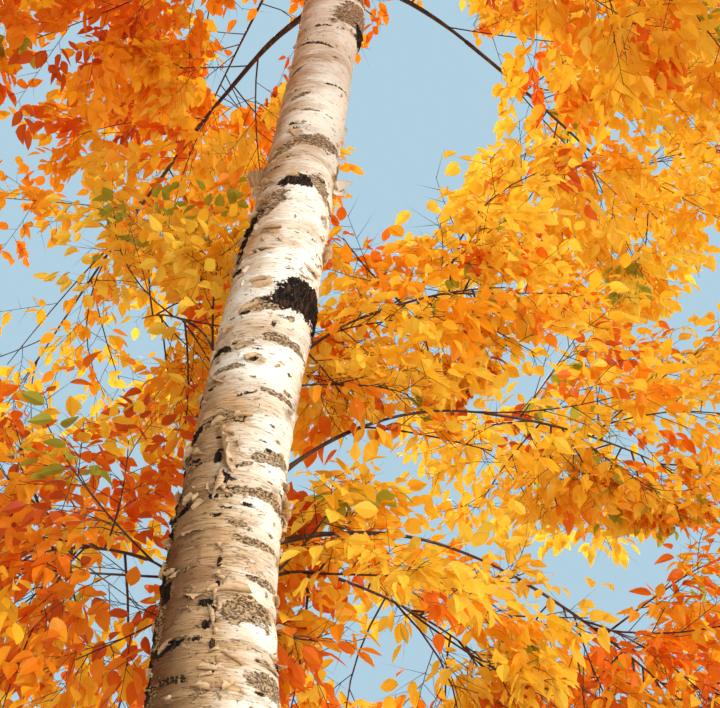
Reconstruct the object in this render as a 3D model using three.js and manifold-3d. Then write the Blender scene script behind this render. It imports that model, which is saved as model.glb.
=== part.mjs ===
// A white birch in autumn: one leaning stem in papery bark, slender low boughs and an open golden crown.
// Millimetres, +Z up, +X to the right and +Y away as the tree is looked at from its front.
// The origin is the middle of the flat cut through the foot of the stem, at ground level.
// Each bough is one tapering limb. Each mass of foliage keeps to its own space: a ball about the mass's
// middle, cut flat where it meets a neighbour's ball. One leader enters it, and twigs with leaf sprays
// branch from that.

import * as THREE from "three";
import { mergeVertices } from "three/addons/utils/BufferGeometryUtils.js";
import Module from "manifold-3d";

const wasm = await Module();
wasm.setup();

const degrees = Math.PI / 180;
const CLEAR = 0.3; // gap between a bough's tip and the mass that it carries
const ROOT_CLEAR = 0.36; // gap between the stem and the boughs cut to meet it
const UP = new THREE.Vector3(0, 0, 1);

// The stem, by height: how far its middle sways along X and Y, and its radius.
const STEM_STATIONS = [
  { height: 0, x: 0, y: 0, radius: 186 },
  { height: 600, x: 14, y: -4, radius: 174 },
  { height: 1300, x: 30, y: -8, radius: 168 },
  { height: 2150, x: 28, y: -4, radius: 162 },
  { height: 2680, x: 2, y: 0, radius: 150 },
  { height: 3250, x: 30, y: 0, radius: 142 },
  { height: 3850, x: 92, y: 0, radius: 145 },
  { height: 4400, x: 150, y: 0, radius: 134 },
  { height: 5000, x: 206, y: 0, radius: 130 },
  { height: 5600, x: 250, y: 0, radius: 124 },
  { height: 7200, x: 330, y: -30, radius: 104 },
  { height: 9200, x: 350, y: -70, radius: 79 },
  { height: 11400, x: 310, y: -40, radius: 51 },
  { height: 13200, x: 330, y: 20, radius: 28 },
  { height: 14250, x: 360, y: 40, radius: 14 },
];
const STEM_SIDES = 16;
const STEM_RING_STEP = 340;
const STEM_RING_CROWDING = 1.25; // above 1, rings stand closer together near the foot
const FLARE = { spread: 95, height: 210, even: 0.6, waves: 0.4, roots: 5, turn: 0.7 };

// Limbs and twigs.
const BOUGH_SIDES = 6;
const BOUGH_STEPS = 5;
const BOUGH_TIP_SHARE = 0.5; // tip radius as a share of the root's
const BOUGH_LIFT = 0.4; // radians by which a bough starts steeper than the straight way to its mass
const BOUGH_BEND_AT = 0.55; // share of its reach where it bends over
const BOUGH_LEVELLING = 0.8; // share of that way's rise that is left where it enters the mass
const BOUGH_ENTRY = 0.86; // how far from the mass's middle it ends, as a share of the mass's radius
const TWIG_SIDES = 3;
const LEADER_STEPS = 3;
const LEADER_END_RADIUS = 9;
const TWIG_RADIUS = { root: 12, tip: 8 };

// The rule by which a mass's twigs branch. Shares are of the mass's radius.
const GOLDEN_TURN = 137.5 * degrees;
const TWIGS = 5;
const TWIG_FROM = 0.14;
const TWIG_TO = 0.94;
const TWIG_JITTER = 0.5;
const TWIG_SEEDS = 100; // seeds set apart for each mass, one for each twig
const TWIG_LEAN = { least: 52, spread: 18 };
const LEADER_REACH = 1.42;
const LEADER_DROOP = 0.16;
const TWIG_REACH = { least: 0.7, spread: 0.2 };
const TWIG_DROOP = 0.22;
const TWIG_TRIES = [1, 0.82, 0.66, 0.5, 0.36];
const LEAF_PLACES = [
  { at: 0.5, swing: 0.85 },
  { at: 0.78, swing: -0.85 },
  { at: 0.97, swing: 0.1 },
];
const TIP_LEAF_AT = 0.985; // the leaf spray at the leader's end
const LEAF_LENGTH = { least: 0.47, spread: 0.16 }; // spray length as a share of the mass's radius
const LEAF_WIDTH = 0.7; // shares of the spray's length
const LEAF_THICKNESS = 0.045;
const LEAF_WAIST = 0.39;
const LEAF_DROOP = 0.4;
const LEAF_TILT = 75; // most degrees that a spray is turned about its own length
const LEAF_TRIES = [1, 0.8, 0.62];
const SPACE_MARGIN = 6; // least distance from the edge of the mass's space
const LIMB_MARGIN = 8; // least distance from any limb

// Low boughs: where each leaves the stem, the middle and radius of its mass, and its own thickness.
const LOW_BOUGHS = [
  { root: 3180, middle: [740, 410, 4240], radius: 660, thickness: 12 },
  { root: 2920, middle: [1360, 1000, 4100], radius: 850, thickness: 14 },
  { root: 2670, middle: [620, 800, 3140], radius: 640, thickness: 11 },
  { root: 2800, middle: [1390, 1190, 3290], radius: 720, thickness: 14 },
  { root: 3010, middle: [-470, 730, 4420], radius: 700, thickness: 12 },
  { root: 2530, middle: [-640, 680, 3290], radius: 720, thickness: 13 },
];

// Tiers of the crown, from the bottom. A tier's masses stand in a ring that leaves a window at the back.
const CROWN_TIERS = [
  { height: 6300, reach: 2100, radius: 1300, count: 6, window: 82, root: 5640, thickness: 30 },
  { height: 8150, reach: 2200, radius: 1300, count: 6, window: 68, root: 6850, thickness: 27 },
  { height: 10050, reach: 1750, radius: 1230, count: 5, window: 96, root: 8700, thickness: 23 },
  { height: 11850, reach: 1150, radius: 1120, count: 4, window: 30, root: 10600, thickness: 18 },
  { height: 13350, reach: 660, radius: 940, count: 2, window: 75, root: 12300, thickness: 14 },
];
const WINDOW_WIDTH = 86;
const TIER_JITTER = { height: 120, reach: 160, turn: 7 };
const TIER_STAGGER = 330; // every other mass stands higher than its tier, and the rest lower
const ROOT_STAGGER = 170; // and its bough leaves the stem higher
const TOP_MASS = { above: 560, radius: 860 };

// Repeatable numbers from 0 to 1, by a linear congruential rule on 32 bits.
function random(seed) {
  let state = (seed * 7919 + 12345) % 4294967296;
  return () => {
    state = (state * 1664525 + 1013904223) % 4294967296;
    return state / 4294967296;
  };
}

// A smooth value between stations, by height.
function between(key, height) {
  const last = STEM_STATIONS.length - 1;
  let i = 0;
  while (i < last - 1 && STEM_STATIONS[i + 1].height < height) i++;
  const slope = (n) => {
    const a = STEM_STATIONS[Math.max(0, n - 1)];
    const b = STEM_STATIONS[Math.min(last, n + 1)];
    return (b[key] - a[key]) / (b.height - a.height);
  };
  const a = STEM_STATIONS[i];
  const b = STEM_STATIONS[i + 1];
  const span = b.height - a.height;
  const t = (height - a.height) / span;
  const ease = t * t * (3 - 2 * t);
  const leaving = t * (1 - t) * (1 - t) * span * slope(i);
  const arriving = t * t * (t - 1) * span * slope(i + 1);
  return a[key] * (1 - ease) + b[key] * ease + leaving + arriving;
}

function stemMiddle(height) {
  return new THREE.Vector3(between("x", height), between("y", height), height);
}

// The stem's radius at a height, in a direction round it, with the roots' flare at the foot.
function stemRadius(height, angle) {
  const swell = FLARE.even + FLARE.waves * Math.cos(FLARE.roots * angle + FLARE.turn);
  return between("radius", height) + FLARE.spread * Math.exp(-height / FLARE.height) * swell;
}

// A direction from its bearing, counted from +X towards +Y, and its rise above level.
function direction(bearing, rise) {
  return new THREE.Vector3(
    Math.cos(bearing) * Math.cos(rise),
    Math.sin(bearing) * Math.cos(rise),
    Math.sin(rise),
  );
}

// The level direction across a heading.
function across(heading) {
  const side = new THREE.Vector3().crossVectors(heading, UP);
  return side.length() > 1e-3 ? side.normalize() : new THREE.Vector3(1, 0, 0);
}

function solidOf(geometry) {
  const bare = geometry.clone();
  bare.deleteAttribute("normal");
  bare.deleteAttribute("uv");
  const merged = mergeVertices(bare, 1e-3);
  return new wasm.Manifold(
    new wasm.Mesh({
      numProp: 3,
      vertProperties: new Float32Array(merged.attributes.position.array),
      triVerts: new Uint32Array(merged.index.array),
    }),
  );
}

function geometryOf(solid) {
  const mesh = solid.getMesh();
  return new THREE.BufferGeometry()
    .setAttribute("position", new THREE.BufferAttribute(mesh.vertProperties, 3))
    .setIndex(new THREE.BufferAttribute(mesh.triVerts, 1));
}

// The stem as a lofted solid, grown outwards all over by the given amount.
function stemSolid(grow) {
  const top = STEM_STATIONS.at(-1).height;
  const rings = Math.round(top / STEM_RING_STEP);
  const geometry = new THREE.CylinderGeometry(1, 1, 1, STEM_SIDES, rings);
  const place = geometry.attributes.position;
  for (let i = 0; i < place.count; i++) {
    const share = place.getY(i) + 0.5;
    const height = top * Math.pow(share, STEM_RING_CROWDING);
    const middle = stemMiddle(height);
    const angle = Math.atan2(-place.getZ(i), place.getX(i));
    const out = Math.hypot(place.getX(i), place.getZ(i)) * (stemRadius(height, angle) + grow);
    place.setXYZ(i, middle.x + out * Math.cos(angle), middle.y + out * Math.sin(angle), height);
  }
  return solidOf(geometry);
}

// A limb along a curve that tapers evenly and is closed at both ends.
function limbSolid(curve, rootRadius, tipRadius, sides, steps) {
  const geometry = new THREE.CylinderGeometry(1, 1, 1, sides, steps);
  const frames = curve.computeFrenetFrames(steps, false);
  const place = geometry.attributes.position;
  for (let i = 0; i < place.count; i++) {
    const share = place.getY(i) + 0.5;
    const row = Math.round(share * steps);
    const radius = rootRadius + (tipRadius - rootRadius) * share;
    const point = curve
      .getPointAt(share)
      .addScaledVector(frames.normals[row], place.getX(i) * radius)
      .addScaledVector(frames.binormals[row], -place.getZ(i) * radius);
    place.setXYZ(i, point.x, point.y, point.z);
  }
  return solidOf(geometry);
}

// One leaf spray: a thin blade of eight faces, pointed at both ends and widest below its middle.
function leafPoints(root, along, face, length) {
  const side = new THREE.Vector3().crossVectors(along, face).normalize();
  const waist = root.clone().addScaledVector(along, LEAF_WAIST * length);
  return [
    root,
    root.clone().addScaledVector(along, length),
    waist.clone().addScaledVector(side, 0.5 * LEAF_WIDTH * length),
    waist.clone().addScaledVector(side, -0.5 * LEAF_WIDTH * length),
    waist.clone().addScaledVector(face, 0.5 * LEAF_THICKNESS * length),
    waist.clone().addScaledVector(face, -0.5 * LEAF_THICKNESS * length),
  ];
}

// A leaf's solid: an octahedron whose corners -Y, +Y, +X, -X, +Z and -Z are moved to the leaf's points.
function leafSolid(points) {
  const corners = [[0, -1, 0], [0, 1, 0], [1, 0, 0], [-1, 0, 0], [0, 0, 1], [0, 0, -1]];
  const geometry = new THREE.OctahedronGeometry(1, 0);
  const place = geometry.attributes.position;
  for (let i = 0; i < place.count; i++) {
    const at = new THREE.Vector3().fromBufferAttribute(place, i);
    const which = corners.findIndex((corner) => at.dot(new THREE.Vector3(...corner)) > 0.5);
    place.setXYZ(i, ...points[which].toArray());
  }
  return solidOf(geometry);
}

// The masses of foliage, each with its middle, its radius and the bough that carries it.
function planMasses() {
  const masses = LOW_BOUGHS.map((low, i) => ({
    label: `low_${i + 1}`,
    middle: new THREE.Vector3(...low.middle),
    radius: low.radius,
    root: low.root,
    thickness: low.thickness,
  }));
  CROWN_TIERS.forEach((tier, t) => {
    const draw = random(t + 41);
    const spacing = (360 - WINDOW_WIDTH) / Math.max(1, tier.count - 1);
    for (let k = 0; k < tier.count; k++) {
      const turn = tier.window + WINDOW_WIDTH / 2 + spacing * k + (draw() - 0.5) * 2 * TIER_JITTER.turn;
      const high = k % 2;
      const height = tier.height + (2 * high - 1) * TIER_STAGGER + (draw() - 0.5) * 2 * TIER_JITTER.height;
      const reach = tier.reach + (draw() - 0.5) * 2 * TIER_JITTER.reach;
      const root = tier.root + high * ROOT_STAGGER;
      masses.push({
        label: `tier${t + 1}_${k + 1}`,
        middle: stemMiddle(root).setZ(height).addScaledVector(direction(turn * degrees, 0), reach),
        radius: tier.radius,
        root,
        thickness: tier.thickness,
      });
    }
  });
  const stemTop = STEM_STATIONS.at(-1);
  masses.push({
    label: "top",
    middle: stemMiddle(stemTop.height).addScaledVector(UP, TOP_MASS.above),
    radius: TOP_MASS.radius,
    root: null,
    thickness: stemTop.radius,
  });
  return masses;
}

// The curve of a mass's bough: it leaves the stem rising and bends out towards the mass.
function boughCurve(mass) {
  const from = stemMiddle(mass.root);
  const way = mass.middle.clone().sub(from);
  const bearing = Math.atan2(way.y, way.x);
  const rise = Math.atan2(way.z, Math.hypot(way.x, way.y));
  const inward = direction(bearing, BOUGH_LEVELLING * rise);
  const entry = mass.middle.clone().addScaledVector(inward, -BOUGH_ENTRY * mass.radius);
  const bendReach = BOUGH_BEND_AT * entry.distanceTo(from);
  const bend = from.clone().addScaledVector(direction(bearing, rise + BOUGH_LIFT), bendReach);
  return new THREE.QuadraticBezierCurve3(from, bend, entry);
}

// A leader's curve: straight out at first, then drooping by a share of its length.
function leaderCurve(from, heading, length) {
  const bend = from.clone().addScaledVector(heading, 0.5 * length);
  const end = from.clone().addScaledVector(heading, length).addScaledVector(UP, -LEADER_DROOP * length);
  return new THREE.QuadraticBezierCurve3(from, bend, end);
}

// The point at a share along a curve whose solid is made in straight steps.
function onSteps(curve, share, steps) {
  const row = Math.min(steps - 1, Math.floor(share * steps));
  return curve.getPointAt(row / steps).lerp(curve.getPointAt((row + 1) / steps), share * steps - row);
}

// True if every point lies in the mass's own space.
function inSpace(points, mass, masses) {
  return points.every((point) => {
    const own = point.distanceToSquared(mass.middle) - mass.radius ** 2;
    if (own > -2 * mass.radius * SPACE_MARGIN) return false;
    return masses.every((other) => {
      if (other === mass) return true;
      const theirs = point.distanceToSquared(other.middle) - other.radius ** 2;
      return theirs - own > 2 * SPACE_MARGIN * mass.middle.distanceTo(other.middle);
    });
  });
}

function boxesNear(a, b, gap) {
  const [p, q] = [a.boundingBox(), b.boundingBox()];
  return [0, 1, 2].every((k) => p.min[k] - gap < q.max[k] && q.min[k] - gap < p.max[k]);
}

// True if the solid keeps its margin to every limb.
function clearOf(solid, limbs) {
  const near = limbs.filter((limb) => boxesNear(solid, limb, LIMB_MARGIN));
  return near.every((limb) => solid.minGap(limb, LIMB_MARGIN) >= LIMB_MARGIN);
}

function verticesOf(solid) {
  const place = new THREE.BufferAttribute(solid.getMesh().vertProperties, 3);
  return Array.from({ length: place.count }, (_, i) => new THREE.Vector3().fromBufferAttribute(place, i));
}

// A mass's leader, which carries on from its bough: as long as the space and the other limbs allow.
function leaderOf(mass, masses, otherLimbs) {
  const start = mass.tip.clone().addScaledVector(mass.heading, CLEAR);
  for (const part of TWIG_TRIES) {
    const curve = leaderCurve(start, mass.heading, part * LEADER_REACH * mass.radius);
    const solid = limbSolid(curve, mass.stemRadius, LEADER_END_RADIUS, TWIG_SIDES, LEADER_STEPS);
    if (inSpace([curve.getPointAt(1)], mass, masses) && clearOf(solid, otherLimbs)) return { curve, solid };
  }
  throw new Error(`no room for the leader of ${mass.label}`);
}

// The k-th twig's heading: leaning out from the leader, a golden turn further round it each time.
function twigHeading(along, k, seed, draw) {
  const side = across(along);
  const over = new THREE.Vector3().crossVectors(side, along).normalize();
  const turn = k * GOLDEN_TURN + TWIG_JITTER * draw() + seed;
  const lean = (TWIG_LEAN.least + TWIG_LEAN.spread * draw()) * degrees;
  return along
    .clone()
    .multiplyScalar(Math.cos(lean))
    .addScaledVector(side, Math.sin(lean) * Math.cos(turn))
    .addScaledVector(over, Math.sin(lean) * Math.sin(turn));
}

// The points of the leaf spray that grows from a point on a twig, swung to one side of the twig's way.
function leafAt(root, along, swing, length, draw) {
  const side = across(along);
  const heading = along.clone().multiplyScalar(Math.cos(swing)).addScaledVector(side, Math.sin(swing));
  heading.addScaledVector(UP, -LEAF_DROOP).normalize();
  const flat = across(heading);
  const face = new THREE.Vector3().crossVectors(flat, heading);
  face.applyAxisAngle(heading, LEAF_TILT * (2 * draw() - 1) * degrees);
  return leafPoints(root, heading, face, length);
}

// One mass: its leader, the twigs round it, and the sprays of leaves on them.
function massSolid(mass, seed, masses, limbs, bough) {
  const leader = leaderOf(mass, masses, limbs.filter((limb) => limb !== bough));
  const pieces = [leader.solid];
  const addLeaf = (root, along, swing, length, draw) => {
    for (const part of LEAF_TRIES) {
      const points = leafAt(root, along, swing, length * part, draw);
      if (!inSpace(points, mass, masses)) continue;
      const leaf = leafSolid(points);
      if (!clearOf(leaf, limbs)) continue;
      pieces.push(leaf);
      return;
    }
  };
  for (let k = 0; k < TWIGS; k++) {
    const draw = random(seed * TWIG_SEEDS + k);
    const share = TWIG_FROM + ((TWIG_TO - TWIG_FROM) * (k + 0.5)) / TWIGS;
    const heading = twigHeading(leader.curve.getTangentAt(share), k, seed, draw);
    heading.addScaledVector(UP, -TWIG_DROOP).normalize();
    const reach = mass.radius * (TWIG_REACH.least + TWIG_REACH.spread * draw());
    const leafLength = mass.radius * (LEAF_LENGTH.least + LEAF_LENGTH.spread * draw());
    const from = onSteps(leader.curve, share, LEADER_STEPS);
    for (const part of TWIG_TRIES) {
      const line = new THREE.LineCurve3(from, from.clone().addScaledVector(heading, reach * part));
      const twig = limbSolid(line, TWIG_RADIUS.root, TWIG_RADIUS.tip, TWIG_SIDES, 1);
      if (!inSpace(verticesOf(twig), mass, masses) || !clearOf(twig, limbs)) continue;
      pieces.push(twig);
      LEAF_PLACES.forEach(({ at, swing }) => addLeaf(line.getPointAt(at), heading, swing, leafLength, draw));
      break;
    }
  }
  const end = onSteps(leader.curve, TIP_LEAF_AT, LEADER_STEPS);
  const draw = random(seed * TWIG_SEEDS + TWIGS);
  addLeaf(end, leader.curve.getTangentAt(TIP_LEAF_AT), 0, LEAF_LENGTH.least * mass.radius, draw);
  return wasm.Manifold.union(pieces);
}

function material(colour, roughness) {
  return new THREE.MeshStandardMaterial({ color: colour, roughness, metalness: 0 });
}

function addNode(tree, name, solid, finish) {
  const mesh = new THREE.Mesh(geometryOf(solid), finish);
  mesh.name = name;
  tree.add(mesh);
}

function birch() {
  const tree = new THREE.Group();
  const whiteBark = material(0xe6d8c0, 0.75);
  const boughBark = material(0x5a3a2c, 0.7);
  const foliage = [0xe8951c, 0xdd7a18, 0xf2b02a, 0xc85a1a].map((colour) => material(colour, 0.6));

  const masses = planMasses();
  const stem = stemSolid(0);
  const stemGrown = stemSolid(ROOT_CLEAR);
  addNode(tree, "trunk", stem, whiteBark);

  const boughs = masses.map((mass) => {
    if (mass.root === null) {
      mass.tip = stemMiddle(STEM_STATIONS.at(-1).height);
      mass.heading = UP.clone();
      mass.stemRadius = mass.thickness;
      return stem;
    }
    const curve = boughCurve(mass);
    mass.tip = curve.getPointAt(1);
    mass.heading = curve.getTangentAt(1);
    mass.stemRadius = mass.thickness * BOUGH_TIP_SHARE;
    const limb = limbSolid(curve, mass.thickness, mass.stemRadius, BOUGH_SIDES, BOUGH_STEPS);
    const bough = limb.subtract(stemGrown);
    addNode(tree, `bough_${mass.label}`, bough, boughBark);
    return bough;
  });
  const limbs = [...new Set([stem, ...boughs])];
  masses.forEach((mass, i) => {
    const solid = massSolid(mass, i + 1, masses, limbs, boughs[i]);
    addNode(tree, `foliage_${mass.label}`, solid, foliage[i % foliage.length]);
  });
  return tree;
}

const tree = birch();
export default tree;
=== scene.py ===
"""A white birch in autumn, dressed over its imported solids.

Metres, +Z up, +X to the right and +Y away as the tree is looked at from its front. The stem, the boughs and
the rule by which twigs branch are those of the solids, written again here. The twigs are carried on from
there to the finest ones, with leaves in sprays, and each mass keeps to the same space as its solid.
"""

import logging
import math
from dataclasses import dataclass, field, fields
from enum import Enum
from typing import Callable

import bpy
import numpy as np
from mathutils import Matrix, Vector


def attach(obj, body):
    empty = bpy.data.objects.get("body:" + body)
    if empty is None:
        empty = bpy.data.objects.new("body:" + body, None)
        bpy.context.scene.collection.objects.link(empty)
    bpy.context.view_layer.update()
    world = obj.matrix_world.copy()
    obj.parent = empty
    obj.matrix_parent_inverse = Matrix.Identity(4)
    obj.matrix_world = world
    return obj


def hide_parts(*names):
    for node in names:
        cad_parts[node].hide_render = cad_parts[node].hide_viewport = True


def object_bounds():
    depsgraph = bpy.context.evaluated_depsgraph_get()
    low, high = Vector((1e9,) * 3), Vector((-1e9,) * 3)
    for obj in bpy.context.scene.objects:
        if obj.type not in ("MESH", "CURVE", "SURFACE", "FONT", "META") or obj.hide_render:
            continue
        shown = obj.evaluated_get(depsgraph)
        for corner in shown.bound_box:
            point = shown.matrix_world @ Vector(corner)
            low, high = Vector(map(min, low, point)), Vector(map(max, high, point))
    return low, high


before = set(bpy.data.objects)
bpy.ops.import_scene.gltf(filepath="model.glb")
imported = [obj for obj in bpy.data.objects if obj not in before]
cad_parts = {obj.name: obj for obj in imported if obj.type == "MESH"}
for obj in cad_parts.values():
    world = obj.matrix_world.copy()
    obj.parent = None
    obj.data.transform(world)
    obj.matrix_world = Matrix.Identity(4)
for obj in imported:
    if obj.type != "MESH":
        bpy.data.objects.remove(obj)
cad_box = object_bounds()

log = logging.getLogger("birch")
Array = np.ndarray
Span = tuple[float, float]
UP = np.array([0.0, 0.0, 1.0])
MM = 0.001
GOLDEN_TURN = math.radians(137.5)
PAPER_THICK = 0.0007

# Where the photograph was taken from, and its frame in pixels.
PHOTO_WIDE, PHOTO_TALL = 720, 708
EYE = np.array([0.37, -2.42, 1.5])
EYE_PITCH = 40.0
EYE_LENS_MM = 50.0
SENSOR_MM = 36.0


def linear(colour: str) -> tuple[float, float, float, float]:
    """Turns an sRGB hex colour into linear light.

    Args:
        colour: The colour, as "#RRGGBB".

    Returns:
        Linear red, green, blue and an opaque alpha.
    """
    parts = [int(colour[i : i + 2], 16) / 255 for i in (1, 3, 5)]
    red, green, blue = (p / 12.92 if p <= 0.04045 else ((p + 0.055) / 1.055) ** 2.4 for p in parts)
    return red, green, blue, 1.0


def unit(vectors: Array) -> Array:
    """Gives vectors a length of one."""
    return vectors / np.maximum(np.linalg.norm(vectors, axis=-1, keepdims=True), 1e-9)


def ease(value: Array) -> Array:
    """Limits a value to 0 to 1 and smooths both ends."""
    share = np.clip(value, 0, 1)
    return share * share * (3 - 2 * share)


def across(headings: Array) -> Array:
    """The level directions across headings.

    Args:
        headings: The headings, three numbers each along the last axis.

    Returns:
        A unit vector for each, which is +X where its heading is vertical.
    """
    sides = np.cross(headings, UP)
    upright = np.linalg.norm(sides, axis=-1, keepdims=True) < 1e-3
    return unit(np.where(upright, np.array([1.0, 0.0, 0.0]), sides))


def turned(vectors: Array, axes: Array, angles: Array) -> Array:
    """Turns vectors about unit axes.

    Args:
        vectors: The vectors, one a row.
        axes: A unit axis for each.
        angles: An angle for each, in radians.

    Returns:
        The turned vectors.
    """
    cos, sin = np.cos(angles)[:, None], np.sin(angles)[:, None]
    along = np.sum(vectors * axes, axis=1, keepdims=True)
    return vectors * cos + np.cross(axes, vectors) * sin + axes * along * (1 - cos)


def lattice_noise(points: Array, seed: int) -> Array:
    """Smooth noise whose features are about one unit across.

    Args:
        points: Points, three numbers each along the last axis.
        seed: Which noise of the family to give.

    Returns:
        A value from -1 to 1 for each point.
    """
    base = np.floor(points).astype(np.int64)
    part = points - base
    part = part * part * (3 - 2 * part)
    total = np.zeros(points.shape[:-1])
    for corner in np.ndindex(2, 2, 2):
        cell = base + np.array(corner)
        key = cell[..., 0] * 73856093 ^ cell[..., 1] * 19349663 ^ cell[..., 2] * 83492791 ^ seed * 40503
        key = (key ^ key >> 13) * 1274126177 & 0xFFFFFFFF
        value = (key ^ key >> 16 & 0xFFFF) % 65536 / 32767.5 - 1
        weight = np.prod(np.where(np.array(corner) == 1, part, 1 - part), axis=-1)
        total += weight * value
    return total


def fractal_noise(points: Array, seed: int, octaves: int = 3) -> Array:
    """Noise with finer noise on it, each octave half as wide and half as strong.

    Args:
        points: Points, three numbers each along the last axis.
        seed: Which noise of the family to give.
        octaves: How many layers it has.

    Returns:
        A value from about -1 to 1 for each point.
    """
    total = np.zeros(points.shape[:-1])
    for octave in range(octaves):
        total += lattice_noise(points * 2**octave, seed + octave) / 2**octave
    return total / 1.5


class Draw:
    """Repeatable numbers from 0 to 1, by the same rule as the solids'."""

    def __init__(self, seed: int) -> None:
        """Starts the series of a seed."""
        self.state = (seed * 7919 + 12345) % 2**32

    def __call__(self) -> float:
        """The next number of the series."""
        self.state = (self.state * 1664525 + 1013904223) % 2**32
        return self.state / 2**32


def add_node(tree: bpy.types.NodeTree, kind: str, settings: dict | None = None) -> bpy.types.Node:
    """Adds one node with its settings and links.

    Args:
        tree: The node tree to add to.
        kind: The node's type after "ShaderNode", such as "Math".
        settings: Values by property, or by an input's name or number. An input is linked to a value that is
            a socket, or to the first output of one that is a node.

    Returns:
        The new node.
    """
    node = tree.nodes.new(f"ShaderNode{kind}")
    for name, value in (settings or {}).items():
        if isinstance(value, bpy.types.Node):
            value = value.outputs[0]
        if isinstance(name, str) and name not in node.inputs:
            setattr(node, name, value)
        elif isinstance(value, bpy.types.NodeSocket):
            tree.links.new(value, node.inputs[name])
        else:
            node.inputs[name].default_value = value
    return node


def new_material(name: str) -> tuple[bpy.types.Material, bpy.types.NodeTree]:
    """Makes an empty node material.

    Args:
        name: The material's name.

    Returns:
        The material and its empty node tree.
    """
    made = bpy.data.materials.new(name)
    made.use_nodes = True
    made.node_tree.nodes.clear()
    return made, made.node_tree


@dataclass(frozen=True)
class Pattern:
    """A natural unevenness of a skin, from the real size of its features."""

    long_mm: float  # in the level
    tall_mm: float
    detail: float = 3.0  # how many finer layers lie on it
    roughness: float = 0.6  # the strength of each finer layer

    def lay(self, tree: bpy.types.NodeTree, place: bpy.types.NodeSocket) -> bpy.types.Node:
        """Lays the pattern in a material.

        Args:
            tree: The material's node tree.
            place: The place on the object, in metres.

        Returns:
            A node with values round zero.
        """
        scale = [1 / (size * MM) for size in (self.long_mm, self.long_mm, self.tall_mm)]
        sized = add_node(tree, "VectorMath", {"operation": "MULTIPLY", 0: place, 1: scale})
        grown = {"Vector": sized, "Scale": 1.0, "Detail": self.detail, "Roughness": self.roughness}
        return add_node(tree, "Math", {"operation": "SUBTRACT", 0: add_node(tree, "TexNoise", grown), 1: 0.5})


@dataclass
class Heap:
    """Vertices and faces gathered for one piece."""

    vertices: list[Array] = field(default_factory=list)
    faces: list[Array] = field(default_factory=list)
    looks: list[Array] = field(default_factory=list)
    count: int = 0

    def add(self, vertices: Array, faces: Array, looks: Array | int = 0) -> None:
        """Adds a mesh to the heap.

        Args:
            vertices: Its vertices, one a row.
            faces: Its faces, as numbers of its own vertices, one a row.
            looks: The material number of each face, or of all of them.
        """
        self.vertices.append(vertices.reshape(-1, 3))
        self.faces.append(faces + self.count)
        self.looks.append(np.broadcast_to(looks, len(faces)))
        self.count += len(self.vertices[-1])

    def build(self, name: str, materials: list[bpy.types.Material], smooth: int) -> bpy.types.Object:
        """Makes the object.

        Args:
            name: The piece's name.
            materials: Its materials, in the order that the faces number them.
            smooth: How many of the first materials are on smooth faces. The others' faces stay flat.

        Returns:
            The new object.
        """
        vertices = np.concatenate(self.vertices)
        faces = np.concatenate(self.faces)
        sides = faces.shape[1]
        mesh = bpy.data.meshes.new(name)
        mesh.vertices.add(len(vertices))
        mesh.vertices.foreach_set("co", vertices.astype(np.float32).ravel())
        mesh.loops.add(faces.size)
        mesh.loops.foreach_set("vertex_index", faces.astype(np.int32).ravel())
        mesh.polygons.add(len(faces))
        mesh.polygons.foreach_set("loop_start", np.arange(0, faces.size, sides, dtype=np.int32))
        for material in materials:
            mesh.materials.append(material)
        looks = np.concatenate(self.looks).astype(np.int32)
        mesh.polygons.foreach_set("material_index", looks)
        mesh.polygons.foreach_set("use_smooth", looks < smooth)
        mesh.update(calc_edges=True)
        mesh.validate()
        made = bpy.data.objects.new(name, mesh)
        bpy.context.scene.collection.objects.link(made)
        return made


def hand_over(piece: bpy.types.Object, slot: str, *nodes: str) -> None:
    """Puts a finished piece in the place of its solids.

    Args:
        piece: The piece.
        slot: The record's material slot for the piece; not used.
        *nodes: The solids that it stands for.
    """
    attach(piece, "root")
    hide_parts(*nodes)
    log.info("%s: %d faces for %d solids", piece.name, len(piece.data.polygons), len(nodes))


def ring_walls(rings: int, sides: int) -> Array:
    """The walls between rings of vertices that stand on each other.

    Args:
        rings: How many rings there are.
        sides: How many vertices each one has.

    Returns:
        The faces of four vertices, one a row, with their faces out.
    """
    side = np.arange(sides)
    row = np.arange(rings - 1)[:, None] * sides
    low, low_next = row + side, row + (side + 1) % sides
    return np.stack([low, low_next, low_next + sides, low + sides], axis=-1).reshape(-1, 4)


def tubes(paths: Array, radii: Array, sides: int) -> tuple[Array, Array]:
    """Makes closed tubes along paths that all have the same number of points.

    Args:
        paths: The paths' points, as path, point, coordinate.
        radii: The radius at each point, as path, point.
        sides: How many sides each tube has.

    Returns:
        The vertices, and the triangles with their faces out.
    """
    count, points = paths.shape[:2]
    ways = unit(np.gradient(paths, axis=1))
    sideways = across(ways[:, 0])[:, None, :]
    sideways = unit(sideways - ways * np.sum(sideways * ways, axis=2, keepdims=True))
    over = np.cross(ways, sideways)
    angle = np.arange(sides) / sides * math.tau
    ring = np.cos(angle)[:, None] * sideways[:, :, None] + np.sin(angle)[:, None] * over[:, :, None]
    vertices = paths[:, :, None] + ring * radii[:, :, None, None]
    walls = ring_walls(points, sides)[:, [0, 1, 2, 0, 2, 3]]
    side = np.arange(1, sides - 1)
    fan = np.stack([0 * side, side, side + 1], axis=1)
    pattern = np.concatenate([walls.reshape(-1, 3), fan[:, ::-1], fan + (points - 1) * sides])
    faces = pattern[None] + np.arange(count)[:, None, None] * points * sides
    return vertices.reshape(-1, 3), faces.reshape(-1, 3)


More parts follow.
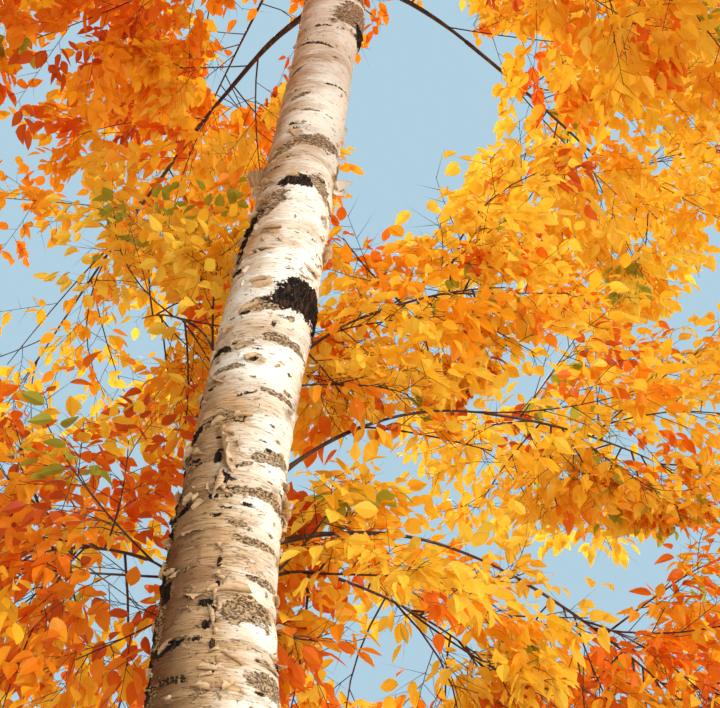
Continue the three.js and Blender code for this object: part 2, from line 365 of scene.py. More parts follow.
def spikes(starts: Array, ends: Array, radii: Array) -> tuple[Array, Array]:
    """Makes slim three-sided spikes, closed at the root.

    Args:
        starts: Where each one's root is.
        ends: Where its point is.
        radii: Its radius at the root.

    Returns:
        The vertices, and the triangles with their faces out.
    """
    ways = unit(ends - starts)
    side = across(ways)
    over = np.cross(ways, side)
    angle = np.arange(3) / 3 * math.tau
    ring = np.cos(angle)[:, None] * side[:, None] + np.sin(angle)[:, None] * over[:, None]
    roots = starts[:, None] + radii[:, None, None] * ring
    vertices = np.concatenate([roots, ends[:, None]], axis=1)
    pattern = np.array([(0, 1, 3), (1, 2, 3), (2, 0, 3), (0, 2, 1)])
    faces = pattern[None] + 4 * np.arange(len(starts))[:, None, None]
    return vertices.reshape(-1, 3), faces.reshape(-1, 3)


@dataclass(frozen=True)
class Station:
    """The stem at one height: how far its middle sways along X and Y, and its radius."""

    height: float
    x: float
    y: float
    radius: float


@dataclass(frozen=True)
class Stem:
    """The stem's course, taper and root flare."""

    stations: tuple[Station, ...] = (
        Station(0.0, 0.0, 0.0, 0.186),
        Station(0.6, 0.014, -0.004, 0.174),
        Station(1.3, 0.03, -0.008, 0.168),
        Station(2.15, 0.028, -0.004, 0.162),
        Station(2.68, 0.002, 0.0, 0.15),
        Station(3.25, 0.03, 0.0, 0.142),
        Station(3.85, 0.092, 0.0, 0.145),
        Station(4.4, 0.15, 0.0, 0.134),
        Station(5.0, 0.206, 0.0, 0.13),
        Station(5.6, 0.25, 0.0, 0.124),
        Station(7.2, 0.33, -0.03, 0.104),
        Station(9.2, 0.35, -0.07, 0.079),
        Station(11.4, 0.31, -0.04, 0.051),
        Station(13.2, 0.33, 0.02, 0.028),
        Station(14.25, 0.36, 0.04, 0.014),
    )
    flare_spread: float = 0.095
    flare_height: float = 0.21
    flare_even: float = 0.6
    flare_waves: float = 0.4
    flare_roots: int = 5
    flare_turn: float = 0.7

    @property
    def top(self) -> float:
        """The height of the stem's tip."""
        return self.stations[-1].height

    def between(self, key: str, height: Array) -> Array:
        """A smooth value between the stations.

        Args:
            key: Which of a station's values to give.
            height: The heights to give it at.

        Returns:
            The value at each height.
        """
        heights = np.array([station.height for station in self.stations])
        values = np.array([getattr(station, key) for station in self.stations])
        last = len(heights) - 1
        before = np.maximum(np.arange(last + 1) - 1, 0)
        after = np.minimum(np.arange(last + 1) + 1, last)
        slopes = (values[after] - values[before]) / (heights[after] - heights[before])
        height = np.asarray(height, float)
        i = np.minimum(np.searchsorted(heights[1:], height), last - 1)
        span = heights[i + 1] - heights[i]
        t = (height - heights[i]) / span
        blend = t * t * (3 - 2 * t)
        leaving = t * (1 - t) ** 2 * span * slopes[i]
        arriving = t * t * (t - 1) * span * slopes[i + 1]
        return values[i] * (1 - blend) + values[i + 1] * blend + leaving + arriving

    def middle(self, height: Array) -> Array:
        """The stem's middle at each height."""
        height = np.asarray(height, float)
        return np.stack([self.between("x", height), self.between("y", height), height], axis=-1)

    def radius(self, height: Array, angle: Array) -> Array:
        """The stem's radius with its root flare.

        Args:
            height: The heights.
            angle: A direction for each, counted from +X towards +Y, in radians.

        Returns:
            The radius at each.
        """
        swell = self.flare_even + self.flare_waves * np.cos(self.flare_roots * angle + self.flare_turn)
        flare = self.flare_spread * np.exp(-np.asarray(height) / self.flare_height) * swell
        return self.between("radius", height) + flare


class Wear(Enum):
    """What has happened to the papery bark at a mark."""

    SCAR = 0  # black, cracked bark round a lost branch, and painted shadow beside some curls
    MOTTLE = 1  # brown, scaly band that the paper has left
    SLIT = 2  # thin dark split along the grain
    PEEL = 3  # tan inner bark laid bare


@dataclass(frozen=True)
class Mark:
    """One mark in the bark, an upright or level lens in shape.

    Turns count from the stem's front, which faces -Y, towards +X, in degrees.
    """

    kind: Wear
    height: float
    turn: float
    spread: float  # degrees from its middle to its end
    tall: float  # from its middle to its edge
    rise: float = 0.0  # how much higher its end towards +X is than its middle
    droop: float = 0.0  # how much lower both ends hang


@dataclass(frozen=True)
class Swelling:
    """A round swelling of the stem, such as the collar of a bough that was lost."""

    height: float
    turn: float
    spread: float
    tall: float
    proud: float


@dataclass(frozen=True)
class Curl:
    """A tongue of paper bark that has come loose and curls away from the stem."""

    height: float
    turn: float
    wide: float  # along its root
    reach: float  # from its root to its free edge
    roll: float  # radius that it curls round
    aim: float = 0.0  # degrees in the bark's plane: 0 grows down, 90 towards +X, 180 up
    lift: float = 8.0  # degrees between the stem and the tongue at its root


# The marks of the photographed side by kind: height, turn, spread, tall, and some have a rise and droop.
FACE_ROWS = {
    Wear.SCAR: (
        (2.505, -38, 26, 0.016, 0.01), (2.665, -56, 12, 0.03), (2.72, 5, 2.5, 0.014), (2.655, 6, 3, 0.012),
        (2.58, 3, 2.5, 0.016), (2.5, 4, 2, 0.012), (2.44, 5, 4, 0.01), (2.42, -71, 7, 0.05),
        (2.55, -73, 8, 0.07), (2.7, -72, 8, 0.05), (2.88, -74, 8, 0.05), (3.08, -74, 7, 0.04),
        (2.47, -80, 9, 0.03), (2.58, -84, 8, 0.02), (2.8, -78, 9, 0.03), (2.96, -72, 10, 0.024),
        (3.3, -70, 9, 0.014), (2.9, -44, 13, 0.012, 0.012), (2.975, -4, 7, 0.02), (3.045, -13, 5, 0.022),
        (3.155, -58, 14, 0.022, 0.01), (3.45, -42, 22, 0.016, 0.0, 0.02), (3.395, 4, 5, 0.01),
        (3.68, 52, 40, 0.078, 0.0, 0.03), (3.65, 88, 12, 0.07), (3.9, -62, 16, 0.05, 0.05),
        (3.8, -50, 12, 0.012), (3.99, -56, 20, 0.05, 0.05), (4.205, 8, 26, 0.033, 0.0, 0.02),
        (5.27, 82, 22, 0.055),
    ),
    Wear.MOTTLE: (
        (2.43, 65, 30, 0.03), (2.6, 36, 30, 0.036, 0.0, 0.02), (2.69, 56, 22, 0.013), (2.4, -66, 16, 0.03),
        (2.58, -62, 12, 0.07), (2.88, -68, 12, 0.05), (2.74, -74, 14, 0.035), (3.06, -66, 18, 0.03),
        (2.795, 44, 34, 0.012), (2.838, 18, 10, 0.01), (2.945, 42, 40, 0.017, 0.0, 0.02),
        (3.075, 52, 38, 0.022, 0.02, 0.03), (3.18, -15, 28, 0.022, 0.0, 0.02),
        (3.285, 45, 30, 0.011, -0.004), (3.37, -28, 26, 0.014, 0.0, 0.01),
        (3.486, 46, 40, 0.019, 0.0, 0.012), (3.575, 40, 4, 0.012), (3.62, 15, 26, 0.034, 0.012),
        (4.02, -46, 20, 0.04, 0.05), (4.09, -30, 30, 0.065, 0.05), (3.86, -66, 16, 0.06),
        (4.215, 45, 22, 0.04, -0.03, 0.02), (4.15, 82, 22, 0.018, -0.04),
        (4.44, 12, 66, 0.032, 0.045, 0.03), (4.4, 92, 12, 0.06), (4.62, 5, 22, 0.006),
        (4.715, -20, 20, 0.013, 0.015), (5.34, 58, 42, 0.1, 0.0, 0.04), (5.52, 75, 40, 0.06),
    ),
    Wear.SLIT: (
        (2.42, -40, 22, 0.009), (2.86, -5, 9, 0.007), (3.185, 8, 1.6, 0.022), (3.268, 5, 13, 0.005, 0.01),
        (3.535, 20, 3, 0.008), (3.865, -24, 11, 0.006), (4.305, -38, 22, 0.008, -0.01),
        (4.83, 55, 40, 0.006, 0.03), (4.91, -42, 16, 0.008, 0.012), (5.085, -18, 34, 0.009, -0.025),
        (5.205, -14, 27, 0.008),
    ),
    Wear.PEEL: (
        (2.62, -5, 9, 0.2), (2.45, -8, 7, 0.06), (3.02, -20, 10, 0.05),
    ),
}
FACE_MARKS = tuple(Mark(kind, *row) for kind, rows in FACE_ROWS.items() for row in rows)

FACE_SWELLINGS = (
    Swelling(5.42, 80, 40, 0.17, 0.026),
    Swelling(3.68, 62, 44, 0.13, 0.008),
    Swelling(4.2, 15, 45, 0.1, 0.006),
    Swelling(4.44, 60, 60, 0.05, 0.005),
)

# The loose curls of that side: height, turn, wide, reach, roll, aim and lift.
CURL_ROWS = (
    (4.36, -80, 0.07, 0.07, 0.16, 20, 48), (4.33, 92, 0.05, 0.055, 0.09, 160, 42),
    (4.3, 86, 0.04, 0.045, 0.03, 40, 30), (4.36, 98, 0.03, 0.05, 0.2, 120, 60),
    (4.0, 93, 0.04, 0.04, 0.014, 0, 30), (3.96, 88, 0.05, 0.03, 0.008, 0, 20),
    (3.98, -66, 0.05, 0.03, 0.01, 0, 30), (3.9, -70, 0.04, 0.035, 0.012, 20, 40),
    (3.82, -60, 0.05, 0.03, 0.01, -30, 25), (3.87, -22, 0.07, 0.014, 0.006, 0, 20),
    (3.72, -12, 0.045, 0.03, 0.007, 30, 20), (3.605, -14, 0.06, 0.03, 0.009, 10, 15),
    (3.77, 24, 0.03, 0.016, 0.02, 180, 35), (3.775, 40, 0.025, 0.018, 0.02, 170, 40),
    (3.77, 56, 0.03, 0.014, 0.02, 190, 40), (3.76, 72, 0.02, 0.016, 0.02, 180, 40),
    (3.44, -12, 0.05, 0.02, 0.006, 180, 20), (3.4, 2, 0.035, 0.034, 0.008, 60, 25),
    (3.2, -34, 0.06, 0.025, 0.008, 0, 15), (3.17, -22, 0.05, 0.03, 0.009, 20, 15),
    (3.19, 9, 0.012, 0.025, 0.012, 90, 40), (3.13, -8, 0.05, 0.02, 0.007, -20, 15),
    (3.075, -1, 0.17, 0.06, 0.026, -76, 14), (2.96, -6, 0.1, 0.045, 0.012, -84, 14),
    (2.94, -2, 0.05, 0.03, 0.007, -60, 15), (2.93, -38, 0.05, 0.028, 0.009, 0, 20),
    (2.9, -26, 0.04, 0.03, 0.008, 30, 20), (2.81, -30, 0.08, 0.026, 0.01, 180, 20),
    (2.72, -52, 0.05, 0.024, 0.008, 0, 25), (2.7, -44, 0.04, 0.022, 0.007, 180, 25),
    (2.65, 18, 0.11, 0.036, 0.011, 0, 18), (2.63, 4, 0.05, 0.03, 0.008, -60, 18),
    (2.57, 3, 0.08, 0.022, 0.007, -85, 15), (2.52, -30, 0.07, 0.02, 0.007, 180, 18),
    (2.51, -46, 0.05, 0.02, 0.006, 0, 18), (2.44, 2, 0.04, 0.035, 0.007, -20, 15),
    (2.76, 5, 0.034, 0.022, 0.006, -70, 22), (2.72, 8, 0.028, 0.02, 0.006, -110, 26),
    (2.68, 7, 0.03, 0.026, 0.007, -40, 20), (2.6, 8, 0.032, 0.02, 0.006, -95, 26),
    (2.54, 6, 0.03, 0.022, 0.006, -75, 22), (2.49, 7, 0.03, 0.024, 0.007, -100, 24),
    (2.46, 9, 0.024, 0.018, 0.006, -60, 28), (2.48, -79, 0.05, 0.03, 0.009, 20, 30),
    (2.6, -82, 0.04, 0.03, 0.008, -20, 35), (2.76, -80, 0.05, 0.032, 0.009, 30, 30),
    (2.83, -76, 0.04, 0.026, 0.008, 160, 30), (2.98, -74, 0.05, 0.03, 0.009, 10, 28),
    (3.08, -70, 0.05, 0.026, 0.008, 190, 25), (3.32, -72, 0.04, 0.024, 0.008, 0, 28),
    (4.07, -52, 0.05, 0.03, 0.01, 30, 24), (4.13, -40, 0.04, 0.024, 0.01, 160, 26),
    (2.4, 17, 0.04, 0.03, 0.01, 40, 25), (2.47, 68, 0.12, 0.014, 0.006, 180, 20),
    (2.52, 90, 0.09, 0.03, 0.02, 10, 25), (3.03, 84, 0.04, 0.02, 0.008, 0, 30),
    (2.98, 90, 0.04, 0.022, 0.008, 0, 35), (2.92, 86, 0.04, 0.02, 0.007, 180, 30),
    (2.87, 91, 0.03, 0.02, 0.007, 0, 35),
)
FACE_CURLS = tuple(Curl(*row) for row in CURL_ROWS)


@dataclass(frozen=True)
class PaperBark:
    """Outer bark of a paper birch, grown in thin papery layers and weathered outdoors.

    To the eye it is a chalky cream skin with fine level wrinkles and short dark breathing pores. On the
    side turned from the key light it is tanner and more wrinkled, partly weathered bark and partly painted
    shade. Brown scaly bands and black cracked scars break it, sheets of paper overlap with torn edges whose
    dark lines are partly painted shadow, and towards the tip it is still the red-brown bark of young wood.
    """

    name: str = "birch_paper_bark_weathered"
    cream: str = "#F1F1E2"
    # warm and deep: the tan and brown of weathered bark and bare inner bark, which on the side turned from
    # the key light also paint shade
    warm: str = "#C8A476"
    deep: str = "#643A1A"
    wrinkle: str = "#8C6642"
    pore: str = "#4E3828"
    scale_dark: str = "#38200F"
    scale_light: str = "#CBA775"
    char: str = "#0B0806"
    char_light: str = "#5A3F2A"
    young: str = "#6A4636"
    roughness: float = 0.62
    folds: Pattern = Pattern(240.0, 13.0, 2.0)  # the long wrinkles
    wrinkles: Pattern = Pattern(90.0, 6.0, 2.0)
    pores: Pattern = Pattern(30.0, 4.0, 1.0)  # 1.5 mm high on real bark, coarser here so that it shows
    scales: Pattern = Pattern(9.1, 4.9, 4.0)  # of a brown band
    patches: Pattern = Pattern(28.0, 14.0)  # into which the scales gather
    fibres: Pattern = Pattern(7.0, 34.0, 2.0)  # torn fibres at the edge of a mark, which stand upright
    sheets: Pattern = Pattern(260.0, 62.0, 5.0)
    cloud: Pattern = Pattern(240.0, 110.0)  # the warmer patches
    grain: Pattern = Pattern(5.0, 5.0, 2.0)
    young_from: float = 10.4  # heights between which the bark turns to that of young wood
    young_to: float = 13.6
    relief: float = 0.002

    def steps(self) -> tuple[tuple, ...]:
        """The sums behind the bark's colours and relief.

        Returns:
            For each step its result, what is done, and the numbers or earlier results that it is done to. A
            RAMP gives 0 where its first value is at the second one, 1 where it is at the third, and is even
            between them.
        """
        return (
            ("sheet_top", "RAMP", "sheets", -0.004, 0.004),
            ("sheet_edge", "ABSOLUTE", "sheets"),
            ("sheet_edge", "RAMP", "sheet_edge", 0.007, 0.001),
            ("folds", "ABSOLUTE", "folds"),
            ("folds", "RAMP", "folds", 0.03, 0.004),
            ("wrinkles", "ABSOLUTE", "wrinkles"),
            ("wrinkles", "RAMP", "wrinkles", 0.05, 0.004),
            ("pores", "RAMP", "pores", 0.16, 0.22),
            # the weathered bark, with painted shade on the side turned from the key light: warm first, then
            # deep brown
            ("bare", "MULTIPLY_ADD", "cloud", 1.1, "peeled"),
            ("bare", "MULTIPLY_ADD", "sheet_top", 0.12, "bare"),
            ("warm", "RAMP", "bare", 0.06, 0.56),
            ("deep", "RAMP", "bare", 0.56, 1.16),
            ("fold_shade", "MULTIPLY_ADD", "warm", 0.66, 0.16),
            ("folds", "MULTIPLY", "folds", "fold_shade"),
            ("wrinkle_shade", "MULTIPLY_ADD", "warm", 0.52, 0.03),
            ("wrinkles", "MULTIPLY", "wrinkles", "wrinkle_shade"),
            ("lined", "MAXIMUM", "folds", "wrinkles"),
            # the marks, with ragged edges
            ("ragged", "ADD", "scales", "fibres"),
            ("brown", "MULTIPLY_ADD", "patches", 1.9, "mottled"),
            ("brown", "MULTIPLY_ADD", "ragged", 0.9, "brown"),
            ("brown", "RAMP", "brown", 0.36, 0.74),
            ("black", "MULTIPLY_ADD", "ragged", 1.5, "scarred"),
            ("black", "MULTIPLY_ADD", "patches", 0.8, "black"),
            ("black", "RAMP", "black", 0.42, 0.56),
            ("worn", "MAXIMUM", "brown", "black"),
            # torn paper and the lips of sheets: dark lines, partly torn paper and partly painted shadow below
            # each raised paper edge
            ("tear", "MULTIPLY_ADD", "ragged", 2.0, "torn"),
            ("tear", "RAMP", "tear", 0.35, 0.6),
            ("tear", "MULTIPLY", "tear", "torn"),
            ("lip", "RAMP", "bare", 0.11, 0.56),
            ("lip", "MULTIPLY", "lip", "sheet_edge"),
            ("edge", "MAXIMUM", "tear", "lip"),
            # how strongly each colour covers
            ("young", "RAMP", "height", self.young_from, self.young_to),
            ("pore_cover", "MULTIPLY", "pores", 0.8),
            ("edge_cover", "MULTIPLY", "edge", 0.85),
            ("brown_cover", "MULTIPLY", "brown", 0.9),
            ("dark_scales", "RAMP", "scales", -0.09, 0.06),
            ("light_fibres", "RAMP", "fibres", -0.02, 0.22),
            ("roughness", "MULTIPLY_ADD", "worn", 0.25, self.roughness),
            # the relief, as a share of its full depth
            ("flakes", "MULTIPLY", "worn", "scales"),
            ("relief", "MULTIPLY", "flakes", 4.0),
            ("relief", "MULTIPLY_ADD", "lined", -0.4, "relief"),
            ("relief", "MULTIPLY_ADD", "grain", 0.25, "relief"),
            ("relief", "MULTIPLY_ADD", "sheet_top", 0.5, "relief"),
            ("sunk", "MAXIMUM", "pores", "edge"),
            ("relief", "MULTIPLY_ADD", "sunk", -0.4, "relief"),
        )

    def layers(self) -> tuple[tuple[str, str, str], ...]:
        """The coats of colour, from the lowest up.

        Returns:
            For each what it lies on, how strongly it covers, and its colour or an earlier coat.
        """
        return (
            ("flecks", "dark_scales", self.scale_dark),
            ("charred", "light_fibres", self.char_light),
            ("skin", "warm", self.warm),
            ("skin", "deep", self.deep),
            ("skin", "lined", self.wrinkle),
            ("skin", "pore_cover", self.pore),
            ("skin", "young", self.young),
            # torn lines and sheet lips in the pores' dark brown: partly torn paper, partly painted shadow
            # below raised paper edges
            ("skin", "edge_cover", self.pore),
            ("skin", "brown_cover", "flecks"),
            ("skin", "black", "charred"),
        )

    def make(self) -> bpy.types.Material:
        """Makes the material, which reads bark_place and bark_marks from the mesh.

        Returns:
            The material.
        """
        made, tree = new_material(self.name)
        place = add_node(tree, "Attribute", {"attribute_name": "bark_place"}).outputs["Vector"]
        marks = add_node(tree, "Attribute", {"attribute_name": "bark_marks"}).outputs
        kinds = add_node(tree, "SeparateColor", {"Color": marks["Color"]}).outputs
        parts = {"scarred": kinds[0], "mottled": kinds[1], "peeled": kinds[2], "torn": marks["Alpha"]}
        parts["height"] = add_node(tree, "SeparateXYZ", {"Vector": place}).outputs["Z"]
        for part in fields(self):
            pattern = getattr(self, part.name)
            if isinstance(pattern, Pattern):
                parts[part.name] = pattern.lay(tree, place)
        for result, action, *used in self.steps():
            values = [parts[value] if isinstance(value, str) else value for value in used]
            if action == "RAMP":
                limits = dict(zip(("Value", "From Min", "From Max"), values))
                parts[result] = add_node(tree, "MapRange", limits)
            else:
                parts[result] = add_node(tree, "Math", {"operation": action, **dict(enumerate(values))})
        coats = {"skin": linear(self.cream), "flecks": linear(self.scale_light), "charred": linear(self.char)}
        for coat, cover, colour in self.layers():
            over = coats[colour] if colour in coats else linear(colour)
            mixed = {"data_type": "RGBA", 0: parts[cover], 6: coats[coat], 7: over}
            coats[coat] = add_node(tree, "Mix", mixed).outputs[2]
        bump = add_node(tree, "Bump", {"Strength": 1.0, "Distance": self.relief, "Height": parts["relief"]})
        finish = {"IOR": 1.45, "Specular IOR Level": 0.3, "Roughness": parts["roughness"]}
        shader = add_node(tree, "BsdfPrincipled", {**finish, "Base Color": coats["skin"], "Normal": bump})
        add_node(tree, "OutputMaterial", {"Surface": shader})
        return made


@dataclass(frozen=True)
class PlainSkin:
    """A thin grown skin in one colour, with a faint pattern in a second."""

    name: str
    colour: str
    second: str
    roughness: float
    shine: float
    pattern: Pattern
    shows: Span  # the pattern's values between which the second colour comes up
    strength: float  # of the relief
    relief: float

    def make(self) -> bpy.types.Material:
        """Makes the material.

        Returns:
            The material.
        """
        made, tree = new_material(self.name)
        pattern = self.pattern.lay(tree, add_node(tree, "TexCoord").outputs["Object"])
        low, high = self.shows
        share = add_node(tree, "MapRange", {"Value": pattern, "From Min": low, "From Max": high})
        tones = {6: linear(self.colour), 7: linear(self.second)}
        colour = add_node(tree, "Mix", {"data_type": "RGBA", 0: share, **tones}).outputs[2]
        bump = add_node(tree, "Bump", {"Strength": self.strength, "Distance": self.relief, "Height": pattern})
        finish = {"IOR": 1.45, "Specular IOR Level": self.shine, "Roughness": self.roughness}
        shader = add_node(tree, "BsdfPrincipled", {**finish, "Base Color": colour, "Normal": bump})
        add_node(tree, "OutputMaterial", {"Surface": shader})
        return made


@dataclass(frozen=True)
class PeeledPaper(PlainSkin):
    """One loose layer of birch paper, torn and dried: matt and even, with faint level streaks."""

    roughness: float = 0.6
    shine: float = 0.35
    pattern: Pattern = Pattern(40.0, 4.0, roughness=0.5)
    shows: Span = (-0.05, 0.2)
    strength: float = 0.5
    relief: float = 0.0006


@dataclass(frozen=True)
class YoungBark(PlainSkin):
    """Smooth bark of young birch wood, grown thin and tight: dark red-brown with a soft shine."""

    colour: str = "#432A22"
    second: str = "#7A5644"
    roughness: float = 0.5
    shine: float = 0.4
    pattern: Pattern = Pattern(28.0, 28.0, roughness=0.5)
    shows: Span = (0.0, 0.25)
    strength: float = 0.6
    relief: float = 0.001


class Tint(Enum):
    """Autumn colours of birch leaves: the blade's own, and that of the light that comes through it."""

    LEMON = ("#FAD046", "#FFE04A")
    YELLOW = ("#F8C032", "#FFD232")
    GOLD = ("#F4A826", "#FFBC22")
    AMBER = ("#EE8E1C", "#FFA21A")
    ORANGE = ("#E47418", "#FA8416")
    RUST = ("#C2581C", "#DE661A")
    OLIVE = ("#9A9A34", "#BABC34")


class Palette(Enum):
    """How the sprays of a mass share out the tints, in the order of Tint."""

    GOLDEN = (0.42, 0.34, 0.11, 0.04, 0.04, 0.02, 0.03)
    WARM = (0.25, 0.33, 0.22, 0.1, 0.06, 0.03, 0.01)
    FIERY = (0.05, 0.12, 0.24, 0.27, 0.2, 0.11, 0.01)
    TURNING = (0.36, 0.3, 0.1, 0.05, 0.04, 0.02, 0.13)
    LATE = (0.04, 0.14, 0.22, 0.2, 0.2, 0.16, 0.04)


@dataclass(frozen=True)
class LeafBlade:
    """A thin dry leaf blade, grown with a waxy skin, that glows where light comes through from behind."""

    tint: Tint
    roughness: float = 0.5
    through: float = 0.5  # share of the light that goes through

    def make(self) -> bpy.types.Material:
        """Makes the material.

        Returns:
            The material.
        """
        own, passed = self.tint.value
        made, tree = new_material(f"birch_leaf_{self.tint.name.lower()}")
        finish = {"Roughness": self.roughness, "IOR": 1.45, "Specular IOR Level": 0.35}
        skin = add_node(tree, "BsdfPrincipled", {"Base Color": linear(own), **finish})
        glow = add_node(tree, "BsdfTranslucent", {"Color": linear(passed)})
        shader = add_node(tree, "MixShader", {0: self.through, 1: skin, 2: glow})
        add_node(tree, "OutputMaterial", {"Surface": shader})
        return made


@dataclass(frozen=True)
class Depths:
    """How far each unevenness of the bark stands out or in, in metres."""

    swell: float = 0.004
    dimple: float = 0.0016
    scar: float = 0.003
    scar_crack: float = 0.008
    scale: float = 0.0036
    rim: float = 0.0028
    slit: float = 0.0035
    peel: float = 0.0016
    sheet: float = 0.0006
    old_sheet: float = 0.0014
    furrow: float = 0.008


@dataclass(frozen=True)
class Features:
    """The size of each unevenness's features in metres, the same all round or along X, Y and Z."""

    swell: float = 0.3
    dimple: tuple[float, float, float] = (0.07, 0.07, 0.03)
    ragged: tuple[float, float, float] = (0.03, 0.03, 0.016)
    broad: tuple[float, float, float] = (0.07, 0.07, 0.05)
    rough: float = 0.016
    furrow: tuple[float, float, float] = (0.028, 0.028, 0.12)
    sheet: tuple[float, float, float] = (0.11, 0.11, 0.035)


# Each kind's share of the strewn bands, and half the height of such a band.
BANDS = {Wear.MOTTLE: (0.5, 0.014), Wear.SLIT: (0.4, 0.006), Wear.SCAR: (0.1, 0.03)}


@dataclass(frozen=True)
class Strewing:
    """How marks and loose curls are strewn by seed, beside those that follow the photograph."""

    mark_seed: int = 7
    band_from: float = 0.25
    bare_tip: float = 1.2  # the stretch below the tip that has no bands
    band_every: float = 0.13
    band_gap: Span = (0.15, 0.7)  # shares of band_every
    band_spread: Span = (14.0, 60.0)
    band_size: Span = (0.6, 1.6)
    band_droop: float = 0.02
    small_marks: int = 260
    small_from: float = 1.2
    small_zone: float = 4.4  # how far above that they reach
    small_spread: Span = (2.0, 9.0)
    small_tall: Span = (0.003, 0.007)
    curl_seed: int = 11
    curls: int = 520
    curl_from: float = 0.5
    curl_zone: float = 5.0
    stray_curls: float = 0.25  # share that may be anywhere up to stray_to
    stray_to: float = 9.0
    large_curls: float = 0.16
    large_wide: Span = (0.035, 0.07)
    large_reach: Span = (0.018, 0.035)
    small_wide: Span = (0.01, 0.03)
    small_reach: Span = (0.007, 0.018)
    curl_aims: tuple[float, ...] = (0.0, 180.0, 90.0, -90.0)
    aim_shares: tuple[float, ...] = (0.5, 0.2, 0.15, 0.15)
    aim_jitter: float = 25.0
    curl_bend: Span = (1.5, 4.2)  # how often a curl's reach holds its roll
    curl_lift: Span = (10.0, 40.0)
    baring: float = 0.03  # the width from which a curl leaves a bare patch
    hollows: float = 0.4  # share of those that get a black mark at the lower left of their bare patch, a painted shadow of the curl


def turned_off(turns: Array, turn: float) -> Array:
    """How far turns lie from one turn, from -180 to 180 degrees."""
    return (turns - turn + 180) % 360 - 180


